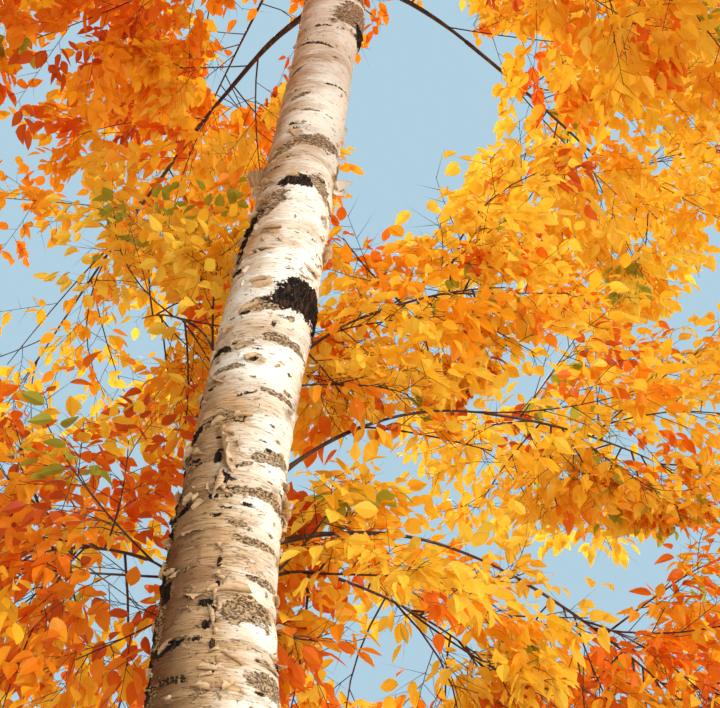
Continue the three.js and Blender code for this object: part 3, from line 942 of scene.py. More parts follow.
@dataclass
class Trunk:
    """The stem with its bark: flare, scars, bands, splits and loose paper."""

    stem: Stem
    depths: Depths = Depths()
    features: Features = Features()
    strewing: Strewing = Strewing()
    face_low: float = 2.3  # the photographed stretch, which has the finest relief
    face_mid: float = 3.9
    face_high: float = 5.66
    face_turns: Span = (-88.0, 104.0)
    fine_step: float = 0.0042
    foot_step: float = 0.012
    upper_step: float = 0.02
    fine_sides: int = 196
    foot_sides: int = 128
    upper_sides: int = 72
    weathered_and_shaded_turn: float = -80.0  # the side whose paper is tanner and more wrinkled: partly weathered bark, partly painted shade, as it is turned from the key light
    weather_height: float = 3.5  # where old rough bark gives way to smoother bark
    weather_zone: float = 0.8
    foot_height: float = 0.42  # how far up the foot's furrows fade
    stout_radius: float = 0.12  # the radius from which the stem has its full relief
    ragged: float = 0.42  # how ragged the marks' edges are, as a share of their size
    broad: float = 0.22
    edge_at: float = 1.2  # where a mark ends, as a share of its size
    edge_soft: float = 0.35
    farthest: float = 1.8  # how far a ragged edge can reach, as a share of a mark's size
    spare: float = 1.3
    sheet_from: float = 0.05  # where in the noise a sheet of paper begins
    sheet_rise: float = 0.05
    tear_wide: float = 0.035
    tear_on_top: float = 0.3  # how much of the dark torn line shows on the upper side of its edge; below the edge it is full, partly painted shadow of the raised paper
    curl_sunk: float = 0.002  # how deep a curl's root lies in the bark
    marks: list[Mark] = field(default_factory=list)
    curls: list[Curl] = field(default_factory=list)

    def plan_marks(self, scars: list[Mark]) -> None:
        """Lists all the marks: those of the photographed side, of the boughs' roots, and the rest by seed.

        Args:
            scars: The marks round the boughs' roots.
        """
        self.marks = [*FACE_MARKS, *scars]
        strewn = self.strewing
        rng = np.random.default_rng(strewn.mark_seed)
        low, high = self.face_turns
        height = strewn.band_from
        while height < self.stem.top - strewn.bare_tip:
            kind = rng.choice(list(BANDS), p=[share for share, _ in BANDS.values()])
            turn = rng.uniform(-180, 180)
            spread = rng.uniform(*strewn.band_spread)
            tall = BANDS[kind][1] * rng.uniform(*strewn.band_size)
            if kind is Wear.SCAR:
                spread /= 2
            on_face = self.face_low < height < self.face_high and low - spread < turn < high + spread
            if not on_face:
                droop = rng.uniform(0, strewn.band_droop)
                self.marks.append(Mark(kind, height, turn, spread, tall, 0.0, droop))
            height += strewn.band_every * rng.uniform(*strewn.band_gap)
        for _ in range(strewn.small_marks):
            height = strewn.small_from + strewn.small_zone * rng.beta(1.6, 2.0)
            kind = rng.choice([Wear.MOTTLE, Wear.SLIT])
            turn = rng.uniform(-180, 180)
            spread = rng.uniform(*strewn.small_spread)
            self.marks.append(Mark(kind, height, turn, spread, rng.uniform(*strewn.small_tall)))

    def plan_curls(self) -> None:
        """Lists the loose curls, the bare patches that they leave, and for some a black mark that is their
        painted shadow.
        """
        strewn = self.strewing
        rng = np.random.default_rng(strewn.curl_seed)
        self.curls = list(FACE_CURLS)
        for _ in range(strewn.curls):
            height = strewn.curl_from + strewn.curl_zone * rng.beta(1.8, 2.2)
            if rng.random() < strewn.stray_curls:
                height = rng.uniform(strewn.curl_from, strewn.stray_to)
            large = rng.random() < strewn.large_curls
            wide = rng.uniform(*(strewn.large_wide if large else strewn.small_wide))
            reach = rng.uniform(*(strewn.large_reach if large else strewn.small_reach))
            aim = rng.choice(strewn.curl_aims, p=strewn.aim_shares)
            aim += rng.uniform(-strewn.aim_jitter, strewn.aim_jitter)
            roll = reach / rng.uniform(*strewn.curl_bend)
            lift = rng.uniform(*strewn.curl_lift)
            self.curls.append(Curl(height, rng.uniform(-180, 180), wide, reach, roll, aim, lift))
        for curl in self.curls:
            if curl.wide < strewn.baring:
                continue
            ring = float(self.stem.between("radius", curl.height))
            aim = math.radians(curl.aim)
            turn = curl.turn + math.degrees(math.sin(aim) * curl.reach / 2 / ring)
            half_wide = abs(math.cos(aim)) * curl.wide / 2 + abs(math.sin(aim)) * curl.reach / 2
            half_tall = abs(math.sin(aim)) * curl.wide / 2 + abs(math.cos(aim)) * curl.reach / 2
            height = curl.height - math.cos(aim) * curl.reach / 2
            spread = math.degrees(half_wide / ring)
            self.marks.append(Mark(Wear.PEEL, height, turn, 1.3 * spread, 0.9 * half_tall))
            # A black scar mark at the lower left of the bare patch that the curl leaves: its painted shadow.
            if rng.random() < strewn.hollows:
                low = height - 0.5 * half_tall
                aside = turn - 0.4 * spread
                self.marks.append(Mark(Wear.SCAR, low, aside, 0.6 * spread, 0.3 * half_tall))

    def wear(self, turns: Array, heights: Array) -> dict[Wear, Array]:
        """How strongly each kind of mark shows.

        Args:
            turns: Turns round the stem, in degrees, one for each column.
            heights: Heights, one for each row.

        Returns:
            A grid from 0 to 1 for each kind.
        """
        strengths = {kind: np.zeros((len(heights), len(turns))) for kind in Wear}
        angle = np.radians(turns)[None, :]
        ring = self.stem.between("radius", heights)[:, None]
        level = heights[:, None] + 0 * angle
        place = np.stack([ring * np.cos(angle), ring * np.sin(angle), level], axis=-1)
        ragged = self.ragged * fractal_noise(place / self.features.ragged, 21, 4)
        ragged = ragged + self.broad * lattice_noise(place / self.features.broad, 25)
        for mark in self.marks:
            reach = mark.tall * self.farthest + abs(mark.rise) + abs(mark.droop)
            rows = np.nonzero(np.abs(heights - mark.height) < reach * self.spare)[0]
            off = turned_off(turns, mark.turn)
            columns = np.nonzero(np.abs(off) < mark.spread * self.farthest)[0]
            share = (off[columns] / mark.spread)[None, :]
            level = heights[rows][:, None] - mark.height - mark.rise * share + mark.droop * share**2
            part = np.ix_(rows, columns)
            far = np.sqrt(share**2 + (level / mark.tall) ** 2) + ragged[part]
            strength = np.clip((self.edge_at - far) / self.edge_soft, 0, 1)
            strengths[mark.kind][part] = np.maximum(strengths[mark.kind][part], strength)
        return strengths

    def surface(self, turns: Array, heights: Array) -> tuple[Array, Array, Array]:
        """The bark's surface on a grid.

        Args:
            turns: Turns round the stem, in degrees, one for each column.
            heights: Heights, one for each row.

        Returns:
            The points, their places in the straightened stem, and the marks' colours.
        """
        angle = np.radians(turns - 90)[None, :]
        radius = self.stem.radius(heights[:, None], angle)
        out = np.stack([np.cos(angle), np.sin(angle), 0 * angle], axis=-1)
        place = radius[..., None] * out
        place[..., 2] = heights[:, None]
        scar, mottle, slit, peel = self.wear(turns, heights).values()

        stout = np.clip(radius / self.stout_radius, 0, 1)
        old = self.age(heights)[:, None]
        foot = np.exp(-heights / self.foot_height)[:, None]
        size, depth = self.features, self.depths
        rough = fractal_noise(place / size.rough, 31, 3)
        furrows = fractal_noise(place / size.furrow, 41, 3)
        layers = fractal_noise(place / size.sheet, 51, 4) - self.sheet_from
        sheets = ease(layers / self.sheet_rise)
        # The torn line at each sheet's edge is strongest below the edge: partly torn paper, partly painted
        # shadow of the raised paper.
        torn = np.clip(1 - np.abs(layers) / self.tear_wide, 0, 1)
        torn = torn * np.where(layers < 0, 1, self.tear_on_top)

        relief = depth.swell * lattice_noise(place / size.swell, 3) * stout
        relief += depth.dimple * lattice_noise(place / size.dimple, 5) * stout
        for swelling in FACE_SWELLINGS:
            off = turned_off(turns, swelling.turn) / swelling.spread
            level = (heights[:, None] - swelling.height) / swelling.tall
            relief += swelling.proud * np.exp(-(off[None, :] ** 2) - level**2)
        rim = 4 * np.maximum(mottle * (1 - mottle), scar * (1 - scar))
        relief += scar * (depth.scar + depth.scar_crack * rough) + mottle * depth.scale * rough
        relief += depth.rim * rim - depth.slit * slit - depth.peel * peel
        relief += (depth.sheet + depth.old_sheet * old) * stout * sheets + depth.furrow * foot * furrows
        points = self.stem.middle(heights)[:, None, :] + (radius + relief)[..., None] * out
        points[..., 2] = heights[:, None]

        # bare: tan inner bark where paper has come off, and the tan of the side turned from the key light,
        # partly weathered bark and partly painted shade
        bare = np.maximum(0.5 * peel, self.bareness_and_shade(turns[None, :], heights[:, None]))
        brown = np.maximum.reduce([mottle, 0.75 * slit, foot * (0.75 + 0.5 * furrows)])
        black = np.maximum.reduce([scar, 0.62 * slit, foot * (0.35 + 0.7 * furrows)])
        tears_and_shadow = torn * (0.25 + 0.75 * old) * stout
        marks = np.stack([black, brown, bare, tears_and_shadow], axis=-1)
        return points, place, np.clip(marks, 0, 1)

    def stretch(self, name: str, heights: Array, sides: int, finish: bpy.types.Material) -> bpy.types.Object:
        """Builds one stretch of the stem, closed at both ends.

        Args:
            name: The piece's name.
            heights: The heights of its rings.
            sides: How many columns of faces it has.
            finish: Its material.

        Returns:
            The new object.
        """
        turns = np.arange(sides) / sides * 360 - 180
        points, place, marks = self.surface(turns, heights)
        heap = Heap()
        heap.add(points, ring_walls(len(heights), sides))
        places, colours = [place.reshape(-1, 3)], [marks.reshape(-1, 4)]
        strip = np.arange(sides // 2 - 1)
        ladder = np.stack([strip, strip + 1, sides - 2 - strip, sides - 1 - strip], axis=1)
        for end, order in ((0, -1), (-1, 1)):
            heap.add(points[end], ladder[:, ::order])
            places.append(place[end])
            colours.append(marks[end])
        made = heap.build(name, [finish], 1)
        self.give_marks(made, np.concatenate(places), np.concatenate(colours))
        return made

    def give_marks(self, piece: bpy.types.Object, places: Array, marks: Array) -> None:
        """Stores on a piece what the bark's finish reads.

        Args:
            piece: The piece.
            places: The place of each vertex in the straightened stem.
            marks: How black, brown, bare and torn the bark is there. Bare also holds painted shade on the
                side turned from the key light, and torn holds painted shadow below raised paper edges.
        """
        layer = piece.data.attributes.new("bark_place", "FLOAT_VECTOR", "POINT")
        layer.data.foreach_set("vector", places.astype(np.float32).ravel())
        layer = piece.data.attributes.new("bark_marks", "FLOAT_COLOR", "POINT")
        layer.data.foreach_set("color", marks.astype(np.float32).ravel())

    def age(self, heights: Array) -> Array:
        """How old and rough the bark is at heights: 1 low on the stem and 0 high up."""
        return ease((self.weather_height - heights) / self.weather_zone)

    def bareness_and_shade(self, turns: Array, heights: Array) -> Array:
        """How tan the bark is without marks: most on the side turned from the key light and low on the stem,
        partly from weathered, older bark and partly as painted shade.

        Args:
            turns: Turns round the stem, in degrees.
            heights: Heights.

        Returns:
            A value from 0 to about 1 for each.
        """
        weathered_and_shaded = (0.5 + 0.5 * np.cos(np.radians(turns - self.weathered_and_shaded_turn))) ** 1.5
        old = self.age(heights)
        return weathered_and_shaded * (0.38 + 0.62 * old) + 0.1 * old

    def curl_mesh(self, curl: Curl, seed: int) -> tuple[Array, Array, Array]:
        """Builds one loose curl as a closed thin tongue.

        Args:
            curl: Its place and size.
            seed: The seed of its ragged edge.

        Returns:
            Its vertices, its faces and each face's material number.
        """
        rng = np.random.default_rng(seed)
        wide, long = (16, 12) if curl.wide > self.strewing.baring else (8, 7)
        side = np.linspace(-1, 1, wide)
        aim, lift = math.radians(curl.aim), math.radians(curl.lift)
        near = float(self.stem.between("radius", curl.height))
        skew = curl.reach * rng.uniform(-0.4, 0.4) * side
        shift = side * curl.wide / 2
        turns = curl.turn + np.degrees((shift * math.cos(aim) + skew * math.sin(aim)) / near)
        heights = curl.height + shift * math.sin(aim) - skew * math.cos(aim)
        angle = np.radians(turns - 90)
        out = np.stack([np.cos(angle), np.sin(angle), 0 * angle], axis=-1)
        level = np.stack([-np.sin(angle), np.cos(angle), 0 * angle], axis=-1)
        radius = self.stem.radius(heights, angle)
        root = self.stem.middle(heights) + (radius - self.curl_sunk)[:, None] * out
        root[:, 2] = heights
        grow = -math.cos(aim) * UP + math.sin(aim) * level
        reach = curl.reach * (1 - 0.55 * np.abs(side) ** 5) * (1 + rng.uniform(-0.4, 0.4) * side)
        reach = reach * (1 + 0.25 * np.sin(4 * side + rng.uniform(0, 6))) * rng.uniform(0.8, 1.1, wide)
        roll = (curl.roll * (1 + rng.uniform(-0.35, 0.35) * side))[:, None]
        bend = np.linspace(0, 1, long)[None, :] * reach[:, None] / roll
        along = roll * (np.sin(lift + bend) - math.sin(lift))
        away = roll * (math.cos(lift) - np.cos(lift + bend))
        sheet = root[:, None] + along[..., None] * grow[:, None] + away[..., None] * out[:, None]
        bent = (lift + bend)[..., None]
        normal = np.cos(bent) * out[:, None] - np.sin(bent) * grow[:, None]
        vertices = np.concatenate([sheet.reshape(-1, 3), (sheet - normal * PAPER_THICK).reshape(-1, 3)])
        under = wide * long
        grid = np.arange(under).reshape(wide, long)
        cell = grid[:-1, :-1].ravel()
        front = np.stack([cell, cell + 1, cell + long + 1, cell + long], axis=1)
        ring = np.concatenate([grid[:, 0], grid[-1, 1:], grid[-2::-1, -1], grid[0, -2:0:-1]])
        ahead = np.roll(ring, -1)
        edge = np.stack([ring, ahead, ahead + under, ring + under], axis=1)
        faces = np.concatenate([front[:, ::-1], front + under, edge])
        looks = np.repeat([0, 1, 2], [len(front), len(front), len(edge)])
        return vertices, faces, looks

    def build(self, scars: list[Mark]) -> None:
        """Builds and dresses the stem.

        Args:
            scars: The marks round the boughs' roots.
        """
        self.plan_marks(scars)
        self.plan_curls()
        bark = PaperBark().make()
        stretches = (
            ("stem_foot", 0.0, self.face_low, self.foot_step, self.foot_sides),
            ("stem_face_lower", self.face_low, self.face_mid, self.fine_step, self.fine_sides),
            ("stem_face_upper", self.face_mid, self.face_high, self.fine_step, self.fine_sides),
            ("stem_upper", self.face_high, self.stem.top, self.upper_step, self.upper_sides),
        )
        for name, low, high, step, sides in stretches:
            heights = np.linspace(low, high, round((high - low) / step) + 1)
            hand_over(self.stretch(name, heights, sides, bark), "white_bark", "trunk")
        heap = Heap()
        for seed, curl in enumerate(self.curls):
            heap.add(*self.curl_mesh(curl, seed))
        inner = PeeledPaper("birch_paper_inner_side", "#D4B488", "#A67C54").make()
        # The torn edge is paler than the inner side: the paper's own edge colour, and partly a painted
        # highlight where light catches it.
        torn = PeeledPaper("birch_paper_torn_edge_and_highlight", "#E2CDA8", "#A98560").make()
        curls = heap.build("bark_curls", [bark, inner, torn], 2)
        places = np.concatenate(heap.vertices)
        middles = self.stem.middle(np.clip(places[:, 2], 0, self.stem.top))
        turns = np.degrees(np.arctan2(*(places - middles)[:, 1::-1].T)) + 90
        marks = np.zeros((len(places), 4))
        # The curls are tanner on the same side, partly weathered paper and partly painted shade.
        marks[:, 2] = self.bareness_and_shade(turns, places[:, 2])
        self.give_marks(curls, places, marks)
        hand_over(curls, "white_bark", "trunk")


@dataclass
class Path:
    """A quadratic curve that is measured along its length."""

    start: Array
    bend: Array
    end: Array

    def __post_init__(self) -> None:
        """Measures the curve."""
        self.steps = np.linspace(0, 1, 201)
        points = self.spot(self.steps)
        lengths = np.linalg.norm(np.diff(points, axis=0), axis=1)
        self.gone = np.concatenate([[0], np.cumsum(lengths)])
        self.length = float(self.gone[-1])

    def spot(self, t: Array) -> Array:
        """The points at the curve's own parameter."""
        t = np.asarray(t, float)[..., None]
        return (1 - t) ** 2 * self.start + 2 * t * (1 - t) * self.bend + t * t * self.end

    def at(self, share: Array) -> Array:
        """The points at shares of the length."""
        return self.spot(np.interp(np.asarray(share) * self.length, self.gone, self.steps))

    def way(self, share: Array) -> Array:
        """The directions at shares of the length."""
        t = np.interp(np.asarray(share) * self.length, self.gone, self.steps)[..., None]
        return unit((1 - t) * (self.bend - self.start) + t * (self.end - self.bend))


@dataclass
class Mass:
    """One mass of foliage and the bough that carries it."""

    label: str
    middle: Array
    radius: float
    root: float | None
    thickness: float
    seed: int = 0
    bough: Path | None = None
    tip: Array | None = None
    heading: Array | None = None
    limb_radius: float = 0.0
    leader: Path | None = None

    @property
    def group(self) -> str:
        """The tier that it belongs to, or "low" or "top"."""
        return self.label.split("_")[0]


@dataclass(frozen=True)
class Tier:
    """One tier of the crown: its masses stand in a ring that leaves a window at the back."""

    height: float
    reach: float
    radius: float
    count: int
    window: float
    root: float
    thickness: float


def direction(bearing: float, rise: float) -> Array:
    """A direction from its bearing, counted from +X towards +Y, and its rise above level, in radians."""
    level = math.cos(rise)
    return np.array([math.cos(bearing) * level, math.sin(bearing) * level, math.sin(rise)])


@dataclass(frozen=True)
class LowBough:
    """A slender bough below the crown: the height of its root, and the ball of the mass that it carries."""

    root: float
    middle: tuple[float, float, float]
    radius: float
    thickness: float


@dataclass(frozen=True)
class SkyGap:
    """A part of the photograph's frame where sky shows, in pixels: sprays that would cover it are thinned."""

    x: float
    y: float
    half_wide: float
    half_tall: float
    kept: float  # share of the sprays that stay


SKY_GAPS = (
    SkyGap(405, 110, 66, 96, 0.03),
    SkyGap(398, 210, 62, 34, 0.3),
    SkyGap(420, 20, 62, 60, 0.25),
    SkyGap(246, 55, 46, 58, 0.12),
    SkyGap(60, 325, 84, 114, 0.44),
    SkyGap(120, 352, 56, 44, 0.45),
    SkyGap(522, 378, 26, 42, 0.5),
    SkyGap(375, 645, 66, 60, 0.35),
    SkyGap(150, 170, 34, 22, 0.4),
    SkyGap(185, 520, 26, 56, 0.45),
    SkyGap(130, 610, 44, 60, 0.4),
    SkyGap(110, 460, 40, 24, 0.5),
    SkyGap(655, 150, 18, 28, 0.4),
)


@dataclass
class CrownPlan:
    """Where the masses stand, which boughs carry them and which space each one keeps to."""

    stem: Stem
    low_boughs: tuple[LowBough, ...] = (
        LowBough(3.18, (0.74, 0.41, 4.24), 0.66, 0.012),
        LowBough(2.92, (1.36, 1.0, 4.1), 0.85, 0.014),
        LowBough(2.67, (0.62, 0.8, 3.14), 0.64, 0.011),
        LowBough(2.8, (1.39, 1.19, 3.29), 0.72, 0.014),
        LowBough(3.01, (-0.47, 0.73, 4.42), 0.7, 0.012),
        LowBough(2.53, (-0.64, 0.68, 3.29), 0.72, 0.013),
    )
    tiers: tuple[Tier, ...] = (
        Tier(6.3, 2.1, 1.3, 6, 82, 5.64, 0.03),
        Tier(8.15, 2.2, 1.3, 6, 68, 6.85, 0.027),
        Tier(10.05, 1.75, 1.23, 5, 96, 8.7, 0.023),
        Tier(11.85, 1.15, 1.12, 4, 30, 10.6, 0.018),
        Tier(13.35, 0.66, 0.94, 2, 75, 12.3, 0.014),
    )
    window_width: float = 86.0
    height_jitter: float = 0.12
    reach_jitter: float = 0.16
    turn_jitter: float = 7.0
    tier_stagger: float = 0.33
    root_stagger: float = 0.17
    top_above: float = 0.56
    top_radius: float = 0.86
    bough_lift: float = 0.4
    bough_bend_at: float = 0.55
    bough_levelling: float = 0.8
    bough_entry: float = 0.86
    bough_tip_share: float = 0.5
    slimness: float = 0.58  # a bough's radius as a share of its solid's
    clear: float = 0.0003
    leader_reach: float = 1.42
    leader_droop: float = 0.16
    tries: tuple[float, ...] = (1.0, 0.82, 0.66, 0.5, 0.36)  # shares of a twig's length
    margin: float = 0.006
    limb_margin: float = 0.008
    limb_search: float = 0.6
    stem_clear: float = 0.02
    before_stem: float = 0.02  # share of the leaves that stay where they would hide the stem
    before_line: float = 0.25  # and where they would hide a low bough or its leader
    line_clear: float = 8.0  # how near in the frame a leaf hides a bough, in pixels
    frame_spare: float = 60.0  # how far above the frame the stem is still kept free, in pixels
    box_spare: float = 0.07  # how far leaves may stand out of the solids' box
    scar_bough: float = 0.03  # the thickness of a bough whose root's scar has the four sizes that follow
    scar_above: float = 0.02
    scar_wide: float = 0.09
    scar_tall: float = 0.022
    scar_droop: float = 0.07
    masses: list[Mass] = field(default_factory=list)

    def __post_init__(self) -> None:
        """Lays out the masses and their boughs."""
        self.place_masses()
        self.middles = np.array([mass.middle for mass in self.masses])
        self.radii = np.array([mass.radius for mass in self.masses])
        for seed, mass in enumerate(self.masses):
            mass.seed = seed + 1
            self.add_bough(mass)
        self.limb_points, self.limb_radii, self.limb_owner = self.sample_limbs()
        for i, mass in enumerate(self.masses):
            self.add_leader(mass, i)
        shares = np.linspace(0, 1, 40)
        low = [mass for mass in self.masses if mass.label.startswith("low")]
        limbs = [path.at(shares) for mass in low for path in (mass.bough, mass.leader)]
        self.low_lines = self.framed(np.concatenate(limbs))

    def place_masses(self) -> None:
        """Lists the masses by the same draws as the solids'."""
        for i, low in enumerate(self.low_boughs):
            middle = np.array(low.middle)
            self.masses.append(Mass(f"low_{i + 1}", middle, low.radius, low.root, low.thickness))
        for t, tier in enumerate(self.tiers):
            draw = Draw(t + 41)
            spacing = (360 - self.window_width) / max(1, tier.count - 1)
            for k in range(tier.count):
                turn = tier.window + self.window_width / 2 + spacing * k
                turn += (draw() - 0.5) * 2 * self.turn_jitter
                high = k % 2
                height = tier.height + (2 * high - 1) * self.tier_stagger
                height += (draw() - 0.5) * 2 * self.height_jitter
                reach = tier.reach + (draw() - 0.5) * 2 * self.reach_jitter
                root = tier.root + high * self.root_stagger
                middle = self.stem.middle(root) + reach * direction(math.radians(turn), 0)
                middle[2] = height
                label = f"tier{t + 1}_{k + 1}"
                self.masses.append(Mass(label, middle, tier.radius, root, tier.thickness))
        tip = self.stem.middle(self.stem.top)
        thickness = self.stem.stations[-1].radius
        self.masses.append(Mass("top", tip + self.top_above * UP, self.top_radius, None, thickness))

    def add_bough(self, mass: Mass) -> None:
        """Works out the bough that carries a mass, and where the mass's leader starts.

        Args:
            mass: The mass, which gets its bough, tip, heading and limb_radius.
        """
        if mass.root is None:
            mass.tip, mass.heading = self.stem.middle(self.stem.top), UP
            mass.limb_radius = mass.thickness
            return
        start = self.stem.middle(mass.root)
        way = mass.middle - start
        bearing = math.atan2(way[1], way[0])
        rise = math.atan2(way[2], math.hypot(way[0], way[1]))
        inward = direction(bearing, self.bough_levelling * rise)
        entry = mass.middle - self.bough_entry * mass.radius * inward
        bend_reach = self.bough_bend_at * float(np.linalg.norm(entry - start))
        bend = start + bend_reach * direction(bearing, rise + self.bough_lift)
        mass.bough = Path(start, bend, entry)
        mass.tip, mass.heading = mass.bough.at(1.0), mass.bough.way(1.0)
        mass.limb_radius = self.slimness * mass.thickness * self.bough_tip_share

    def sample_limbs(self) -> tuple[Array, Array, Array]:
        """Takes points along every limb.

        Returns:
            The points, the radius at each and the number of its limb's mass, which is -1 on the stem.
        """
        heights = np.linspace(0, self.stem.top, 400)
        points, radii = [self.stem.middle(heights)], [self.stem.between("radius", heights)]
        owners = [np.full(len(heights), -1)]
        for i, mass in enumerate(self.masses):
            if mass.bough is None:
                continue
            shares = np.linspace(0, 1, max(8, round(mass.bough.length / 0.03)))
            points.append(mass.bough.at(shares))
            radii.append(mass.thickness * (1 - (1 - self.bough_tip_share) * shares))
            owners.append(np.full(len(shares), i))
        return np.concatenate(points), np.concatenate(radii), np.concatenate(owners)

    def holds(self, points: Array, own: int, beyond: float) -> Array:
        """Whether points lie in a mass's own space.

        Args:
            points: The points, three numbers each along the last axis.
            own: The mass's number.
            beyond: How far they may lie outside its ball, where that is no other mass's space.

        Returns:
            True or False for each point.
        """
        gaps = points[..., None, :] - self.middles
        powers = np.sum(gaps**2, axis=-1) - self.radii**2
        mine = powers[..., own]
        apart = np.linalg.norm(self.middles - self.middles[own], axis=1)
        clear = (powers - mine[..., None] > 2 * self.margin * apart) | (powers > self.margin)
        clear[..., own] = True
        low, high = np.array(cad_box)
        boxed = np.all((points > low - self.box_spare) & (points < high + self.box_spare), axis=-1)
        limit = beyond * (beyond + 2 * self.radii[own]) - 2 * self.radii[own] * self.margin
        return boxed & (mine <= limit) & clear.all(axis=-1)

    def near_limb(self, points: Array, own: int, spare_own: bool) -> Array:
        """Whether points touch a limb.

        Args:
            points: The points, one a row.
            own: The number of the mass that they belong to.
            spare_own: Whether the mass's own bough doesn't count.

        Returns:
            True or False for each point.
        """
        box = self.radii[own] + self.limb_search
        close = np.all(np.abs(self.limb_points - self.middles[own]) < box, axis=1)
        if spare_own:
            close &= self.limb_owner != own
        limbs, sizes = self.limb_points[close], self.limb_radii[close] + self.limb_margin
        if not len(limbs):
            return np.zeros(len(points), bool)
        points, limbs = points - self.middles[own], limbs - self.middles[own]
        squares = np.sum(points**2, axis=1)[:, None] + np.sum(limbs**2, axis=1) - 2 * points @ limbs.T
        return np.any(squares < sizes**2, axis=1)

    def framed(self, points: Array) -> tuple[Array, Array, Array]:
        """Where points show in the photograph's frame.

        Args:
            points: The points, one a row.

        Returns:
            Their places across and down the frame in pixels, and how far ahead they lie in metres.
        """
        pitch = math.radians(EYE_PITCH)
        ahead = np.array([0, math.cos(pitch), math.sin(pitch)])
        upward = np.array([0, -math.sin(pitch), math.cos(pitch)])
        way = points - EYE
        far = way @ ahead
        zoom = EYE_LENS_MM / SENSOR_MM * PHOTO_WIDE / np.maximum(far, 0.01)
        return PHOTO_WIDE / 2 + zoom * way[:, 0], PHOTO_TALL / 2 - zoom * (way @ upward), far

    def left_open(self, points: Array, bare_boughs: bool, rng: np.random.Generator) -> Array:
        """Chooses what is left off so that sky and stem show, seen from where the photograph was taken.

        Args:
            points: The points, one a row.
            bare_boughs: Whether the low boughs show too.
            rng: The source of the choice.

        Returns:
            True for each point to leave off.
        """
        x, y, far = self.framed(points)
        kept = np.ones(len(points))
        for gap in SKY_GAPS:
            off = np.hypot((x - gap.x) / gap.half_wide, (y - gap.y) / gap.half_tall)
            kept = np.minimum(kept, np.clip(gap.kept + 4 * (off - 0.85), gap.kept, 1))
        line_x, line_y, line_far = self.low_lines
        if bare_boughs and far.min(initial=line_far.max()) < line_far.max():
            beside = (x[:, None] - line_x) ** 2 + (y[:, None] - line_y) ** 2 < self.line_clear**2
            kept[np.any(beside & (far[:, None] < line_far), axis=1)] *= self.before_line
        way = points - EYE
        reach = -EYE[1] / np.maximum(way[:, 1], 0.01)
        crossing = EYE + reach[:, None] * way
        height = np.clip(crossing[:, 2], 0, self.stem.top)
        beside = np.abs(crossing[:, 0] - self.stem.between("x", height))
        before_stem = (reach > 1) & (beside < self.stem.between("radius", height) + self.stem_clear)
        kept[before_stem & (y > -self.frame_spare)] = self.before_stem
        return (rng.random(len(points)) > kept) & (far > 0)

    def add_leader(self, mass: Mass, own: int) -> None:
        """Works out a mass's leader, which carries on from its bough.

        Args:
            mass: The mass, which gets its leader.
            own: Its number.
        """
        start = mass.tip + self.clear * mass.heading
        for part in self.tries:
            length = part * self.leader_reach * mass.radius
            bend = start + 0.5 * length * mass.heading
            end = start + length * mass.heading - self.leader_droop * length * UP
            mass.leader = Path(start, bend, end)
            middle_part = mass.leader.at(np.linspace(0.1, 1, 20))
            if self.holds(end, own, 0.0) and not self.near_limb(middle_part, own, True).any():
                return

    def bough_exit(self, mass: Mass) -> float:
        """Finds where a bough comes out of the stem.

        Args:
            mass: The mass that it carries.

        Returns:
            The share of the bough's length.
        """
        shares = np.linspace(0, 1, 400)
        points = mass.bough.at(shares)
        out = points - self.stem.middle(points[:, 2])
        inside = np.hypot(out[:, 0], out[:, 1]) < self.stem.between("radius", points[:, 2])
        return float(shares[np.nonzero(inside)[0][-1]])

    def scars(self) -> list[Mark]:
        """Lists the dark marks that birch bark has round the roots of its boughs.

        Returns:
            One for each bough.
        """
        marks = []
        for mass in self.masses:
            if mass.bough is None:
                continue
            spot = mass.bough.at(self.bough_exit(mass))
            off = spot - self.stem.middle(spot[2])
            turn = math.degrees(math.atan2(off[1], off[0])) + 90
            size = mass.thickness / self.scar_bough
            ring = float(self.stem.between("radius", spot[2]))
            spread = math.degrees(self.scar_wide * size / ring)
            height = float(spot[2]) + self.scar_above * size
            tall, droop = self.scar_tall * size, self.scar_droop * size
            marks.append(Mark(Wear.SCAR, height, turn, spread, tall, 0.0, droop))
        return marks


@dataclass
class Boughs:
    """The limbs that carry the foliage."""

    plan: CrownPlan
    sides: int = 10
    step: float = 0.035
    sunk: float = 0.02  # how far a bough starts inside the stem
    uneven: float = 0.1  # share by which its thickness comes and goes
    sway: float = 0.006
    collar: float = 1.1  # how much thicker it is where it leaves the stem, as a share
    collar_length: float = 0.06

    def limb(self, mass: Mass) -> tuple[Array, Array]:
        """Builds one bough, from just inside the stem to its mass.

        Args:
            mass: The mass that it carries.

        Returns:
            Its vertices and triangles.
        """
        start = max(0.0, self.plan.bough_exit(mass) - self.sunk / mass.bough.length)
        rings = max(12, round(mass.bough.length / self.step))
        shares = np.linspace(start, 1, rings)
        gone = (shares - start) * mass.bough.length
        points = mass.bough.at(shares)
        thickness = self.plan.slimness * mass.thickness
        taper = thickness * (1 - (1 - self.plan.bough_tip_share) * shares)
        wobble = 1 + self.uneven * lattice_noise(points / 0.08, mass.seed)
        radii = taper * wobble * (1 + self.collar * np.exp(-gone / self.collar_length))
        sway = np.stack([lattice_noise(points / 0.35, mass.seed * 3 + i) for i in range(3)], axis=-1)
        points = points + self.sway * sway * np.sin(np.pi * shares)[:, None]
        return tubes(points[None], radii[None], self.sides)

    def build(self) -> None:
        """Builds and dresses the boughs, tier by tier."""
        grown = Pattern(45.0, 45.0, roughness=0.5)
        look = YoungBark("birch_bough_bark_smooth", "#3A2620", "#6E5040", roughness=0.52, pattern=grown)
        bark = look.make()
        for group in sorted({mass.group for mass in self.plan.masses if mass.bough}):
            members = [mass for mass in self.plan.masses if mass.group == group]
            heap = Heap()
            for mass in members:
                heap.add(*self.limb(mass))
            piece = heap.build(f"boughs_{group}", [bark], 1)
            hand_over(piece, "bough_bark", *[f"bough_{mass.label}" for mass in members])


